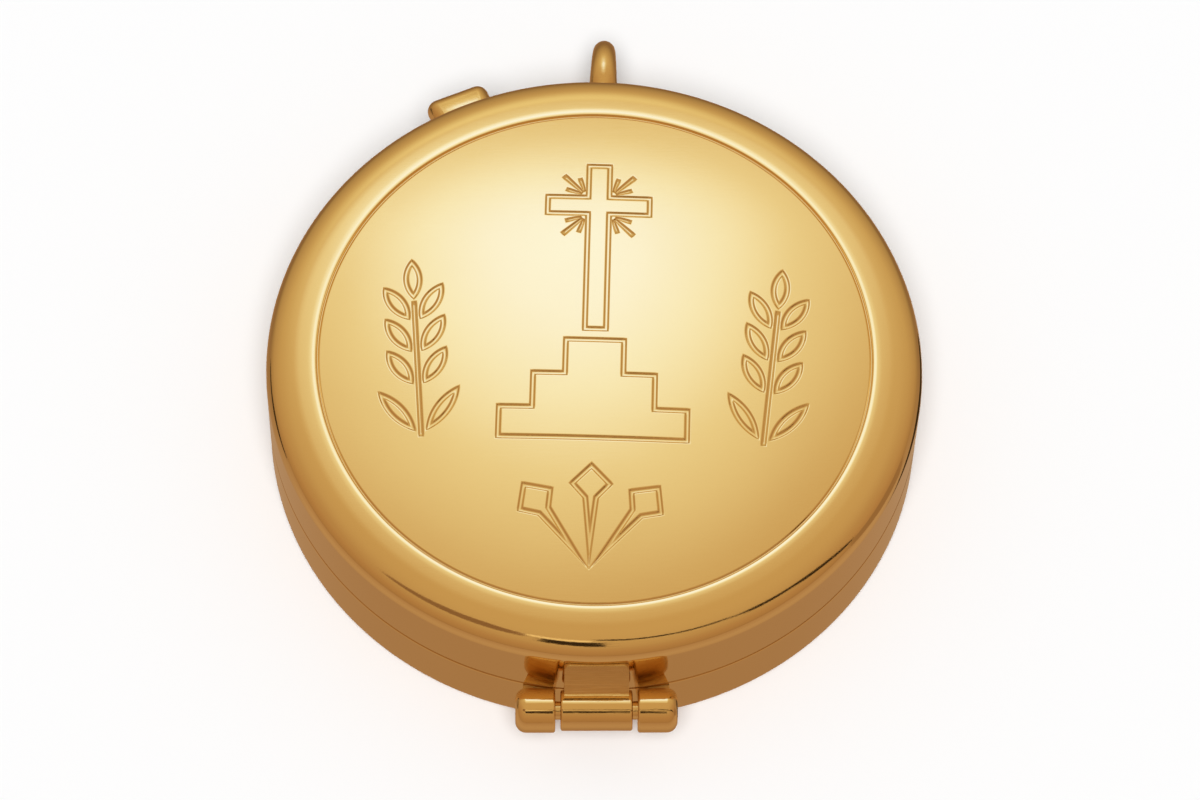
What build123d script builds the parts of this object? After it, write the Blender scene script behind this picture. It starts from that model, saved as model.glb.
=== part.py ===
from build123d import *
import os
from math import atan2, cos, degrees, radians, sin, sqrt, tan

# Hinged round pyx in gold-plated brass. Millimetres, +Z up.
# The origin is the middle of the flat underside. The hinge is at -Y and its pin lies along X.

# Sizes of the box
rim_d = 54.0
base_h = 6.2
base_wall = 0.8
base_floor = 0.8
base_edge_round = 1.2
base_inner_round = 0.8
seam_gap = 0.1
edge_break = 0.15

# Sizes of the lid
lid_side_h = 5.1
rim_round = 1.67
shoulder_round = 3.92
shoulder_slope = 20.0
rim_slope = 5.0
groove_from_rim = 4.25
groove_w = 0.55
groove_depth = 0.2
dome_rise = 1.1
lid_top_t = 0.8

# Sizes of the collar that the lid closes over
collar_t = 0.7
collar_reach = 1.9
collar_round = 0.25
collar_clear = 0.15

# Film of solder between a soldered piece and its wall
solder_film = 0.02

# Sizes of the hinge
hinge_out = 2.0
hinge_rise = 0.5
outer_knuckle_d = 3.6
outer_knuckle_len = 3.22
outer_end_round = 0.9
inner_end_round = 0.2
centre_knuckle_d = 3.3
centre_knuckle_len = 5.8
knuckle_gap = 0.42
saddle_w = 2.4
saddle_slope = 50.0
saddle_seam_clear = 0.15
pin_d = 1.5
pin_clear = 0.05
pin_end_round = 0.1
strap_w = 5.2
strap_top_t = 0.2
strap_top_below_rim = 0.15
strap_corner = 0.5
strap_lip = 0.4
strap_lip_turn = 12.0
strap_lip_break = 0.2

# Sizes of the eye for a cord
eye_turn = -2.0
eye_d = 8.3
eye_bore_d = 4.3
eye_w = 2.3
eye_land = 1.2
eye_outer_round = 1.1
eye_z = 4.4
eye_sink = 0.3

# Sizes of the clasp
clasp_turn = 23.2
tongue_w = 4.2
tongue_t = 0.8
tongue_clear = 0.45
curl_t = 0.55
clasp_pin_d = 1.0
clasp_pin_clear = 0.05
clasp_pin_z = 2.9
clasp_pin_head = 0.15
ear_t = 0.8
ear_clear = 0.12
ear_margin = 0.75
bridge_t = 0.8
bridge_clear = 0.15
thumb_len = 5.45
thumb_h = 2.0
thumb_z = 9.0
thumb_reach = 2.75
thumb_round = 0.95
catch_d = 1.4
catch_z = 7.3
catch_pass = 0.05
catch_round = 0.2
dimple_d = 1.7
dimple_depth = 0.25

# Sizes of the engraved ornament on the lid's panel
ornament_turn = -1.84
stroke_w = 0.43
engraving_depth = 0.12
cross_top = 17.84
cross_foot = 1.6
cross_stem_w = 2.17
cross_arm_w = 8.9
cross_arm_low = 12.67
cross_arm_high = 14.73
ray_gap = 0.45
long_ray = 2.2
long_ray_w = 0.55
short_ray = 1.3
short_ray_w = 0.4
ray_spread = 27.0
step_top = 1.0
step_foot = -8.4
step_widths = (5.2, 10.4, 15.8)
nail_tip = -19.76
nail_len = 9.4
nail_head_w = 3.6
nail_head_drop = 1.9
nail_neck_w = 1.3
nail_neck_drop = 3.2
nail_spread = 36.8
nail_tip_rise = 0.5
wheat_x = 13.9
wheat_lean = 5.0
wheat_foot = -8.3
wheat_top = 8.3
wheat_stem_w = 0.43
grain_len = 3.9
grain_w = 1.55
grain_spread = 32.0
grain_pitch = 3.0
grain_pairs = 3
grain_offset = 0.4
leaf_len = 4.9
leaf_w = 1.4
leaf_spread = 37.0
leaf_rise = 0.5


def round_point(centre, radius, slope):
    """The point on a round of the lid's profile where its surface slopes down outwards by an angle."""
    tilt = radians(slope)
    return (centre[0] + radius * sin(tilt), centre[1] + radius * cos(tilt))


# Places worked out from the sizes
rim_r = rim_d / 2
collar_r = rim_r - base_wall - solder_film
lid_inner_r = collar_r + collar_clear
lid_z = base_h + seam_gap
rim_z = lid_z + lid_side_h
groove_r = rim_r - groove_from_rim
groove_in_r = groove_r - groove_w / 2
groove_out_r = groove_r + groove_w / 2
edge_centre = (rim_r - rim_round, rim_z)
edge_end = round_point(edge_centre, rim_round, shoulder_slope)
shoulder_centre = round_point(edge_end, -shoulder_round, shoulder_slope)
shoulder_end = round_point(shoulder_centre, shoulder_round, rim_slope)
panel_z = shoulder_end[1] + (shoulder_end[0] - groove_out_r) * tan(radians(rim_slope))
crown_z = panel_z + dome_rise
dome_r = (groove_in_r**2 + dome_rise**2) / (2 * dome_rise)
hinge_y = -(rim_r + hinge_out)
hinge_z = base_h + hinge_rise
outer_knuckle_x = centre_knuckle_len / 2 + knuckle_gap + outer_knuckle_len / 2
hinge_half_len = outer_knuckle_x + outer_knuckle_len / 2
tall = 4 * crown_z


def turned(outline):
    """A solid turned about Z from a closed outline of radius and height."""
    return revolve(Plane.XZ * make_face(outline), Axis.Z)


def fitted_to_wall(piece):
    """A piece with its back hollowed to the round wall that it is soldered to."""
    return piece - Cylinder(rim_r + solder_film, tall)


def along_x(radius, length):
    """A round bar along X, centred on the origin."""
    return Rot(0, 90, 0) * Cylinder(radius, length)


def rounded_corner(start, corner, end):
    """Quarter-round arc from start to end, inside the corner between them."""
    centre = [a + b - c for a, b, c in zip(start, end, corner)]
    middle = tuple(m + (c - m) * sqrt(0.5) for m, c in zip(centre, corner))
    return ThreePointArc(start, middle, end)


def rounded_bar(diameter, length, left_round, right_round):
    """A round bar along X, centred on the origin, with the edge of each end rounded."""
    radius = diameter / 2
    left = -length / 2
    right = length / 2
    outline = [
        Line((left, 0), (right, 0)),
        Line((right, 0), (right, radius - right_round)),
        rounded_corner((right, radius - right_round), (right, radius), (right - right_round, radius)),
        Line((right - right_round, radius), (left + left_round, radius)),
        rounded_corner((left + left_round, radius), (left, radius), (left, radius - left_round)),
        Line((left, radius - left_round), (left, 0)),
    ]
    return revolve(make_face(outline), Axis.X)


def dome_ball(drop=0.0):
    """The ball that the panel's dome is part of, lowered by a drop, with its poles out to the sides."""
    return Pos(0, 0, crown_z - drop - dome_r) * Rot(0, 90, 0) * Sphere(dome_r)


# The two turned shells and the collar
def make_base_shell():
    """The cup: flat underside, rounded bottom edge and straight wall."""
    inner_r = rim_r - base_wall
    edge = base_edge_round
    corner = base_inner_round
    outline = [
        Line((0, 0), (rim_r - edge, 0)),
        rounded_corner((rim_r - edge, 0), (rim_r, 0), (rim_r, edge)),
        Line((rim_r, edge), (rim_r, base_h - edge_break)),
        Line((rim_r, base_h - edge_break), (rim_r - edge_break, base_h)),
        Line((rim_r - edge_break, base_h), (inner_r, base_h)),
        Line((inner_r, base_h), (inner_r, base_floor + corner)),
        rounded_corner(
            (inner_r, base_floor + corner), (inner_r, base_floor), (inner_r - corner, base_floor)
        ),
        Line((inner_r - corner, base_floor), (0, base_floor)),
        Line((0, base_floor), (0, 0)),
    ]
    return turned(outline)


def make_base_collar():
    """The inner ring that stands above the seam and guides the lid."""
    low = base_floor + base_inner_round
    high = base_h + collar_reach
    ring = Pos((collar_r - collar_t / 2), (low + high) / 2) * Rectangle(collar_t, high - low)
    ring = fillet(ring.vertices().group_by(Axis.Y)[-1], collar_round)
    return revolve(Plane.XZ * ring, Axis.Z)


def make_lid_rim():
    """The lid's straight side, its rounded rim and the ring groove."""
    edge_middle = round_point(edge_centre, rim_round, (90 + shoulder_slope) / 2)
    shoulder_middle = round_point(shoulder_centre, shoulder_round, (shoulder_slope + rim_slope) / 2)
    inner_corner = (shoulder_end[0], shoulder_end[1] - lid_top_t)
    inner_fall = (groove_in_r - inner_corner[0], panel_z - shoulder_end[1])
    inner_side = (lid_inner_r, rim_z)
    outline = [
        Line((lid_inner_r, lid_z), (rim_r - edge_break, lid_z)),
        Line((rim_r - edge_break, lid_z), (rim_r, lid_z + edge_break)),
        Line((rim_r, lid_z + edge_break), (rim_r, rim_z)),
        ThreePointArc((rim_r, rim_z), edge_middle, edge_end),
        ThreePointArc(edge_end, shoulder_middle, shoulder_end),
        Line(shoulder_end, (groove_out_r, panel_z)),
        ThreePointArc(
            (groove_out_r, panel_z),
            (groove_r, panel_z - groove_depth),
            (groove_in_r, panel_z),
        ),
        Line((groove_in_r, panel_z), (groove_in_r, panel_z - lid_top_t)),
        Line((groove_in_r, panel_z - lid_top_t), inner_corner),
        TangentArc(inner_corner, inner_side, tangent=(-inner_fall[0], -inner_fall[1])),
        Line(inner_side, (lid_inner_r, lid_z)),
    ]
    return turned(outline)


def make_lid_shell():
    """The whole lid: the rim with the engraved dome inside its groove."""
    panel = Pos(0, 0, panel_z) * Cylinder(groove_in_r, 4 * (dome_rise + lid_top_t))
    panel = (panel & dome_ball()) - dome_ball(lid_top_t)
    return make_lid_rim() + panel - make_engraving()


# The engraved ornament
def lens(length, width):
    """A pointed oval from the origin along X."""
    bulge = width / 2
    tip = (length, 0)
    upper = ThreePointArc((0, 0), (length / 2, bulge), tip)
    lower = ThreePointArc(tip, (length / 2, -bulge), (0, 0))
    return make_face([upper, lower])


def lens_line(length, width):
    """The outline of a pointed oval, one stroke wide."""
    arc_r = (length**2 / 4 + width**2 / 4) / width
    inner_half = sqrt((arc_r - stroke_w) ** 2 - (arc_r - width / 2) ** 2)
    inner = lens(2 * inner_half, width - 2 * stroke_w)
    return lens(length, width) - Pos(length / 2 - inner_half, 0) * inner


def outline_of(points):
    """The outline of a closed figure, one stroke wide, inside the given corners."""
    figure = make_face(Polyline(*points, close=True))
    return figure - offset(figure, -stroke_w, kind=Kind.INTERSECTION)


def cross_lines():
    """The cross in outline."""
    stem = cross_stem_w / 2
    arm = cross_arm_w / 2
    right = [
        (stem, cross_top),
        (stem, cross_arm_high),
        (arm, cross_arm_high),
        (arm, cross_arm_low),
        (stem, cross_arm_low),
        (stem, cross_foot),
    ]
    left = [(-x, y) for x, y in reversed(right)]
    return [outline_of(right + left)]


def ray_lines():
    """Three rays in each inner corner of the cross."""
    rays = []
    for side, up in ((1, 1), (-1, 1), (-1, -1), (1, -1)):
        corner = (side * cross_stem_w / 2, cross_arm_high if up > 0 else cross_arm_low)
        middle = degrees(atan2(up, side))
        for swing, length, width in (
            (0, long_ray, long_ray_w),
            (ray_spread, short_ray, short_ray_w),
            (-ray_spread, short_ray, short_ray_w),
        ):
            ray = Pos(ray_gap, 0) * lens(length, width)
            rays.append(Pos(*corner) * Rot(0, 0, middle + swing) * ray)
    return rays


def step_lines():
    """Three steps under the cross, in one outline."""
    rise = (step_top - step_foot) / len(step_widths)
    right = []
    for level, width in enumerate(step_widths):
        top = step_top - level * rise
        right += [(width / 2, top), (width / 2, top - rise)]
    left = [(-x, y) for x, y in reversed(right)]
    return [outline_of(right + left)]


def nail_lines():
    """Three nails in outline, spread from one tip, with the outer two a little higher."""
    head = nail_len - nail_head_drop
    neck = nail_len - nail_neck_drop
    right = [(0, nail_len), (nail_head_w / 2, head), (nail_neck_w / 2, neck)]
    left = [(-x, y) for x, y in reversed(right[1:])]
    nail = outline_of(right + [(0, 0)] + left)
    outer = [
        Pos(0, nail_tip + nail_tip_rise) * Rot(0, 0, turn) * nail for turn in (-nail_spread, nail_spread)
    ]
    return [Pos(0, nail_tip) * nail] + outer


def wheat_lines(side):
    """An ear of wheat on its stem, with a pair of leaves, on one side of the panel."""
    height = wheat_top - wheat_foot
    top_grain = height - grain_len
    stem_len = top_grain - grain_offset
    strokes = [Pos(0, stem_len / 2) * Rectangle(wheat_stem_w, stem_len)]
    strokes.append(Pos(0, top_grain) * Rot(0, 0, 90) * lens_line(grain_len, grain_w))
    pairs = [(leaf_rise, leaf_len, leaf_w, leaf_spread)]
    for pair in range(grain_pairs):
        rise = top_grain - grain_offset - (pair + 0.5) * grain_pitch
        pairs.append((rise, grain_len, grain_w, grain_spread))
    for rise, length, width, spread in pairs:
        for hand in (1, -1):
            place = Pos(hand * grain_offset, rise) * Rot(0, 0, 90 - hand * spread)
            strokes.append(place * lens_line(length, width))
    stand = Pos(side * wheat_x, wheat_foot) * Rot(0, 0, -side * wheat_lean)
    return [stand * stroke for stroke in strokes]


def make_engraving():
    """The metal that the ornament's strokes take out of the dome."""
    strokes = cross_lines() + ray_lines() + step_lines() + nail_lines()
    strokes += wheat_lines(1) + wheat_lines(-1)
    low = panel_z - lid_top_t
    floor = dome_ball(engraving_depth)
    stand = Pos(0, 0, low) * Rot(0, 0, ornament_turn)
    depth = 2 * (crown_z - low)
    return [extrude(stand * stroke, depth, dir=(0, 0, 1)) - floor for stroke in strokes]


# The hinge
def make_outer_knuckle(side):
    """A base knuckle: a barrel with a domed outer end, on a saddle below the seam."""
    radius = outer_knuckle_d / 2
    ends = (inner_end_round, outer_end_round) if side > 0 else (outer_end_round, inner_end_round)
    barrel = rounded_bar(outer_knuckle_d, outer_knuckle_len, *ends)
    barrel = Pos(side * outer_knuckle_x, hinge_y, hinge_z) * barrel
    slope = radians(saddle_slope)
    touch = (hinge_y - radius * cos(slope), hinge_z - radius * sin(slope))
    back = -rim_r + base_wall
    run = back - touch[0]
    foot = (back, touch[1] - run * cos(slope) / sin(slope))
    top = base_h - saddle_seam_clear
    profile = Polyline((back, top), (hinge_y, top), touch, foot, close=True)
    saddle = extrude(Plane.YZ * make_face(profile), saddle_w / 2, both=True)
    shift = side * (inner_end_round - (outer_knuckle_len - saddle_w) / 2)
    saddle = Pos(side * outer_knuckle_x + shift, 0, 0) * saddle
    bore = Pos(0, hinge_y, hinge_z) * along_x(pin_d / 2 + solder_film, 3 * hinge_half_len)
    return fitted_to_wall(barrel + saddle) - bore


def make_lid_hinge_leaf():
    """The lid's slanted strap, which ends in a lip above the hinge's middle knuckle."""
    radius = centre_knuckle_d / 2
    barrel = rounded_bar(centre_knuckle_d, centre_knuckle_len, inner_end_round, inner_end_round)
    barrel = Pos(0, hinge_y, hinge_z) * barrel
    back = -lid_inner_r
    crest = (-rim_r - strap_top_t, rim_z - strap_top_below_rim)
    lip_turn = radians(strap_lip_turn)
    reach = radius + strap_lip
    lip = (hinge_y + reach * sin(lip_turn), hinge_z + reach * cos(lip_turn))
    slant = atan2(crest[1] - lip[1], crest[0] - lip[0])
    lip_face = (lip[0] + strap_lip_break * cos(slant), lip[1] + strap_lip_break * sin(slant))
    lip_end = (lip[0] - strap_lip_break * sin(lip_turn), lip[1] - strap_lip_break * cos(lip_turn))
    outline = [
        Line((back, lid_z + edge_break), (back, crest[1])),
        Line((back, crest[1]), crest),
        Line(crest, lip_face),
        Line(lip_face, lip_end),
        Line(lip_end, (hinge_y, hinge_z)),
        Line((hinge_y, hinge_z), (hinge_y, lid_z + edge_break)),
        Line((hinge_y, lid_z + edge_break), (back, lid_z + edge_break)),
    ]
    strap = extrude(Plane.YZ * make_face(outline), strap_w / 2, both=True)
    corners = strap.edges().filter_by(Axis.Y).group_by(Axis.Z)[-1]
    strap = fillet(corners, strap_corner)
    bore = Pos(0, hinge_y, hinge_z) * along_x(pin_d / 2 + pin_clear, 3 * hinge_half_len)
    return fitted_to_wall(strap) + barrel - bore


def make_hinge_pin():
    """The pin, filed flush with the outer knuckles' ends."""
    pin = rounded_bar(pin_d, 2 * hinge_half_len, pin_end_round, pin_end_round)
    return Pos(0, hinge_y, hinge_z) * pin


# The eye
def make_suspension_eye():
    """A stout upright ring, filed to the wall and soldered on, with a straight land in its bore."""
    outer_r = eye_d / 2
    bore_r = eye_bore_d / 2
    section = Pos(0, (outer_r + bore_r) / 2) * Rectangle(eye_w, outer_r - bore_r)
    rows = section.vertices().group_by(Axis.Y)
    section = fillet(rows[-1], eye_outer_round)
    section = fillet(section.vertices().group_by(Axis.Y)[0], (eye_w - eye_land) / 2)
    ring = Pos(0, rim_r + outer_r - eye_sink, eye_z) * revolve(section, Axis.X)
    return Rot(0, 0, eye_turn) * fitted_to_wall(ring)


# The clasp, built at +Y and turned to its place
curl_r = clasp_pin_d / 2 + clasp_pin_clear + curl_t
tongue_y = rim_r + tongue_clear
clasp_pin_y = tongue_y + curl_r
ear_in_x = tongue_w / 2 + ear_clear
ear_out_x = ear_in_x + ear_t


def box_between(low, high):
    """A block between two opposite corners."""
    size = [b - a for a, b in zip(low, high)]
    middle = [(a + b) / 2 for a, b in zip(low, high)]
    return Pos(*middle) * Box(*size)


def clasp_bar(radius, length):
    """A round bar on the clasp pin's line."""
    return Pos(0, clasp_pin_y, clasp_pin_z) * along_x(radius, length)


def make_clasp_bracket():
    """Two ears on the base's wall, joined by a bridge under the tongue's curl."""
    ear_r = clasp_pin_d / 2 + ear_margin
    back_y = rim_r - base_wall
    bridge_top = clasp_pin_z - curl_r - bridge_clear
    bridge_low = bridge_top - bridge_t
    bracket = box_between((-ear_out_x, back_y, bridge_low), (ear_out_x, clasp_pin_y, bridge_top))
    for side in (1, -1):
        middle = side * (ear_in_x + ear_out_x) / 2
        eye = Pos(middle, clasp_pin_y, clasp_pin_z) * along_x(ear_r, ear_t)
        cheek = Pos(middle, 0, 0) * box_between(
            (-ear_t / 2, back_y, bridge_low), (ear_t / 2, clasp_pin_y, clasp_pin_z + ear_r)
        )
        bracket = bracket + eye + cheek
    return Rot(0, 0, clasp_turn) * (
        fitted_to_wall(bracket) - clasp_bar(clasp_pin_d / 2 + solder_film, 3 * ear_out_x)
    )


def make_clasp_pin():
    """The clasp's pin, with a low domed head at each ear."""
    pin = rounded_bar(clasp_pin_d, 2 * (ear_out_x + clasp_pin_head), clasp_pin_head, clasp_pin_head)
    return Rot(0, 0, clasp_turn) * Pos(0, clasp_pin_y, clasp_pin_z) * pin


def make_clasp_tongue():
    """The tongue: a curl on the pin, a flat plate over the seam and a rounded thumb bar."""
    low_z = thumb_z - thumb_h / 2
    high_z = thumb_z + thumb_h / 2
    half = thumb_len / 2
    bar = box_between((-half, tongue_y, low_z), (half, rim_r + thumb_reach, high_z))
    back = bar.faces().sort_by(Axis.Y)[0]
    back_edges = back.edges()
    bar = fillet([edge for edge in bar.edges() if edge not in back_edges], thumb_round)
    plate = box_between(
        (-tongue_w / 2, tongue_y, clasp_pin_z), (tongue_w / 2, tongue_y + tongue_t, thumb_z)
    )
    tongue = clasp_bar(curl_r, tongue_w) + plate + bar
    tongue -= clasp_bar(clasp_pin_d / 2 + clasp_pin_clear, 3 * ear_out_x)
    dimple_r = (dimple_d**2 / 4 + dimple_depth**2) / (2 * dimple_depth)
    dimple = Pos(0, tongue_y + dimple_depth - dimple_r, catch_z) * Sphere(dimple_r)
    return Rot(0, 0, clasp_turn) * (tongue - dimple)


def make_lid_catch():
    """A low bead on the lid's wall, which the tongue's dimple faces."""
    back_y = lid_inner_r
    face_y = tongue_y - catch_pass
    bead = Rot(0, 0, 90) * rounded_bar(catch_d, face_y - back_y, catch_round, catch_round)
    bead = Pos(0, (face_y + back_y) / 2, catch_z) * bead
    return Rot(0, 0, clasp_turn) * fitted_to_wall(bead)


pieces = {
    "base_shell": make_base_shell(),
    "base_collar": make_base_collar(),
    "hinge_knuckle_left": make_outer_knuckle(-1),
    "hinge_knuckle_right": make_outer_knuckle(1),
    "hinge_pin": make_hinge_pin(),
    "suspension_eye": make_suspension_eye(),
    "clasp_bracket": make_clasp_bracket(),
    "clasp_pin": make_clasp_pin(),
    "lid_shell": make_lid_shell(),
    "lid_hinge_leaf": make_lid_hinge_leaf(),
    "lid_catch": make_lid_catch(),
    "clasp_tongue": make_clasp_tongue(),
}

os.makedirs("parts", exist_ok=True)
for name, piece in pieces.items():
    export_step(piece, f"parts/{name}.step")
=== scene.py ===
"""Looks of the pyx: polished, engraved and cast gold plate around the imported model, in metres."""
from __future__ import annotations

import logging
import math
from dataclasses import dataclass, field
from enum import Enum

import bmesh
import bpy
import numpy as np
from mathutils import Matrix, Vector
from mathutils.geometry import delaunay_2d_cdt

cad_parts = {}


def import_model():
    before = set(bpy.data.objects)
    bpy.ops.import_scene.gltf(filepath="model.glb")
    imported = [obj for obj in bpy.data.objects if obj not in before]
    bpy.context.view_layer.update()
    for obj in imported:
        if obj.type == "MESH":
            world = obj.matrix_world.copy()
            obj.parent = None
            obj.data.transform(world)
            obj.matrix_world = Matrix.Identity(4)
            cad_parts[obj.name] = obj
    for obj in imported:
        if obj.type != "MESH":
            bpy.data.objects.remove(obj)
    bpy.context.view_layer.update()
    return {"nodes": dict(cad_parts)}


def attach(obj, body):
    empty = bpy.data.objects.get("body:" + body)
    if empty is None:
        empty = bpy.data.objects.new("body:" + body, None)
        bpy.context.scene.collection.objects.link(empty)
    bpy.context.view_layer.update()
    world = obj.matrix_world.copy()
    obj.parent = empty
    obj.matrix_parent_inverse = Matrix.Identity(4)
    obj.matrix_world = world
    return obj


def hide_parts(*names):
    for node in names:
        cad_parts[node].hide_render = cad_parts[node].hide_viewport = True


LOG = logging.getLogger("pyx")
MM = 0.001
MICRON = 1e-6
# Points this near to each other, in metres, are merged.
DOUBLES = 1e-7
# A point this near to a surface or a line, in millimetres, counts as lying on it.
SURFACE_GAP = 0.02
# Sharper corners than this, as a cosine, are mitred no further.
MITRE_LIMIT = 0.08
# Slow drifts of the plate's tone, per metre.
DRIFT_PER_METRE = 110.0
# Y and Z of the hinge's pin in the model's frame, in millimetres.
HINGE_AXIS = (-29.0, 6.7)
Point = tuple[float, float]
Colour = tuple[float, float, float]
Angles = tuple[float, float, float]
Stop = tuple[float, Colour]
Tree = bpy.types.NodeTree
Socket = bpy.types.NodeSocket
Material = bpy.types.Material
Mesh = bpy.types.Mesh
Piece = bpy.types.Object


class Slot(Enum):
    """The record's material slots."""

    POLISHED = "polished_gold"
    INNER = "inner_gold"
    CAST = "cast_gold"
    PIN = "pin_gold"


class Body(Enum):
    """The bodies that the pieces ride on."""

    BASE = "base"
    LID = "lid"
    CLASP = "clasp"


def add_node(tree: Tree, kind: str, inputs: dict | None = None, **settings: object) -> bpy.types.Node:
    """Adds a node to a tree.

    Args:
        tree: The tree that gets the node.
        kind: The node's type.
        inputs: A value, or a socket to join, for each named or numbered input.
        settings: The node's own settings.

    Returns:
        The node.
    """
    node = tree.nodes.new(kind)
    for label, value in settings.items():
        setattr(node, label, value)
    for label, value in (inputs or {}).items():
        if isinstance(value, Socket):
            tree.links.new(value, node.inputs[label])
        else:
            node.inputs[label].default_value = value
    return node


def math_node(tree: Tree, operation: str, *values: object) -> Socket:
    """Adds a Math node with a number or a socket for each input in turn, and returns its result."""
    return add_node(tree, "ShaderNodeMath", dict(enumerate(values)), operation=operation).outputs[0]


def smooth_step(tree: Tree, value: Socket, low: float, high: float) -> Socket:
    """Spreads a value between two limits over 0 to 1, smoothly."""
    inputs = {"Value": value, "From Min": low, "From Max": high}
    return add_node(tree, "ShaderNodeMapRange", inputs, interpolation_type="SMOOTHSTEP").outputs["Result"]


def mix_colours(tree: Tree, share: Socket, first: object, second: object, way: str = "MIX") -> Socket:
    """Mixes two colours by a share, or adds that share of the second where the way is ADD."""
    inputs = {"Factor": share, "A": first, "B": second}
    return add_node(tree, "ShaderNodeMix", inputs, data_type="RGBA", blend_type=way).outputs["Result"]


class Effects:
    """Shader groups that the gold finishes share."""

    def __init__(self) -> None:
        """Builds the groups once."""
        self.haze = self.handling_haze()
        self.scratches = self.fine_scratches()
        self.tone = self.plate_tone()
        self.rings = self.spun_rings()

    @staticmethod
    def group(
        name: str, inputs: dict[str, str], output: tuple[str, str]
    ) -> tuple[Tree, list[Socket], Socket]:
        """Starts a shader group with named sockets.

        Args:
            name: The group's name.
            inputs: Names and kinds of the inputs.
            output: Name and kind of the one output.

        Returns:
            The tree, the sockets that bring the inputs in and the socket that takes the output.
        """
        tree = bpy.data.node_groups.new(name, "ShaderNodeTree")
        for label, kind in inputs.items():
            tree.interface.new_socket(label, in_out="INPUT", socket_type="NodeSocket" + kind)
        tree.interface.new_socket(output[0], in_out="OUTPUT", socket_type="NodeSocket" + output[1])
        start, end = tree.nodes.new("NodeGroupInput"), tree.nodes.new("NodeGroupOutput")
        return tree, list(start.outputs)[:len(inputs)], end.inputs[0]

    @staticmethod
    def noise(tree: Tree, place: Socket, scale: object, detail: float) -> Socket:
        """Adds a noise texture and returns its value."""
        inputs = {"Vector": place, "Scale": scale, "Detail": detail}
        return add_node(tree, "ShaderNodeTexNoise", inputs).outputs[0]

    def handling_haze(self) -> Tree:
        """Builds the soft cloudy film that fingers and cloths leave on a polish.

        Returns:
            The group.
        """
        inputs = {"Coordinates": "Vector", "Per metre": "Float"}
        tree, (place, scale), out = self.group("handling_haze", inputs, ("Haze", "Float"))
        broad = self.noise(tree, place, scale, 4.0)
        fine = self.noise(tree, place, math_node(tree, "MULTIPLY", scale, 9.0), 2.0)
        both = math_node(tree, "MULTIPLY_ADD", fine, 0.25, math_node(tree, "MULTIPLY", broad, 0.75))
        tree.links.new(smooth_step(tree, both, 0.42, 0.66), out)
        return tree

    def fine_scratches(self) -> Tree:
        """Builds hairlines in three crossing directions, as a height from 0 to 1.

        Returns:
            The group.
        """
        inputs = {"Coordinates": "Vector", "Per metre": "Float", "Width": "Float"}
        tree, (place, scale, width), out = self.group("fine_scratches", inputs, ("Height", "Float"))
        heights = []
        for turn, share in ((0.06, 1.0), (0.5, 0.8), (-0.35, 0.6)):
            inputs = {"Vector": place, "Rotation": (0.0, 0.0, turn), "Scale": (0.03, 1.0, 1.0)}
            drawn_out = add_node(tree, "ShaderNodeMapping", inputs).outputs[0]
            value = self.noise(tree, drawn_out, scale, 3.0)
            ridge = math_node(tree, "ABSOLUTE", math_node(tree, "SUBTRACT", value, 0.5))
            line = smooth_step(tree, math_node(tree, "DIVIDE", ridge, width), 1.0, 0.0)
            heights.append(math_node(tree, "MULTIPLY", line, share))
        highest = math_node(tree, "MAXIMUM", math_node(tree, "MAXIMUM", heights[0], heights[1]), heights[2])
        tree.links.new(highest, out)
        return tree

    def plate_tone(self) -> Tree:
        """Builds the plate's colour: slow drifts of tone, and a share of the deep tone that is painted shade
        in grooves, seams and hollows, with dirt in brushed scratches.

        Returns:
            The group.
        """
        inputs = {"Coordinates": "Vector", "Plate": "Color", "Deep": "Color", "Recess": "Float"}
        tree, (place, plate, deep, recess), out = self.group("plate_tone", inputs, ("Colour", "Color"))
        drift = smooth_step(tree, self.noise(tree, place, DRIFT_PER_METRE, 3.0), 0.35, 0.8)
        # A faint random drift, plus the painted shade and scratch dirt that the last input brings.
        share = math_node(tree, "MULTIPLY_ADD", drift, 0.04, math_node(tree, "MULTIPLY", recess, 0.6))
        tree.links.new(mix_colours(tree, share, plate, deep), out)
        return tree

    def spun_rings(self) -> Tree:
        """Builds the fine rings that turning leaves inside a cup, as a height from 0 to 1.

        Returns:
            The group.
        """
        inputs = {"Coordinates": "Vector", "Per metre": "Float"}
        tree, (place, scale), out = self.group("spun_rings", inputs, ("Height", "Float"))
        x, y, z = add_node(tree, "ShaderNodeSeparateXYZ", {0: place}).outputs
        square = math_node(tree, "MULTIPLY_ADD", x, x, math_node(tree, "MULTIPLY", y, y))
        inputs = {0: math_node(tree, "SQRT", square), 2: z}
        turned = add_node(tree, "ShaderNodeCombineXYZ", inputs).outputs[0]
        tree.links.new(self.noise(tree, turned, scale, 3.0), out)
        return tree


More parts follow.
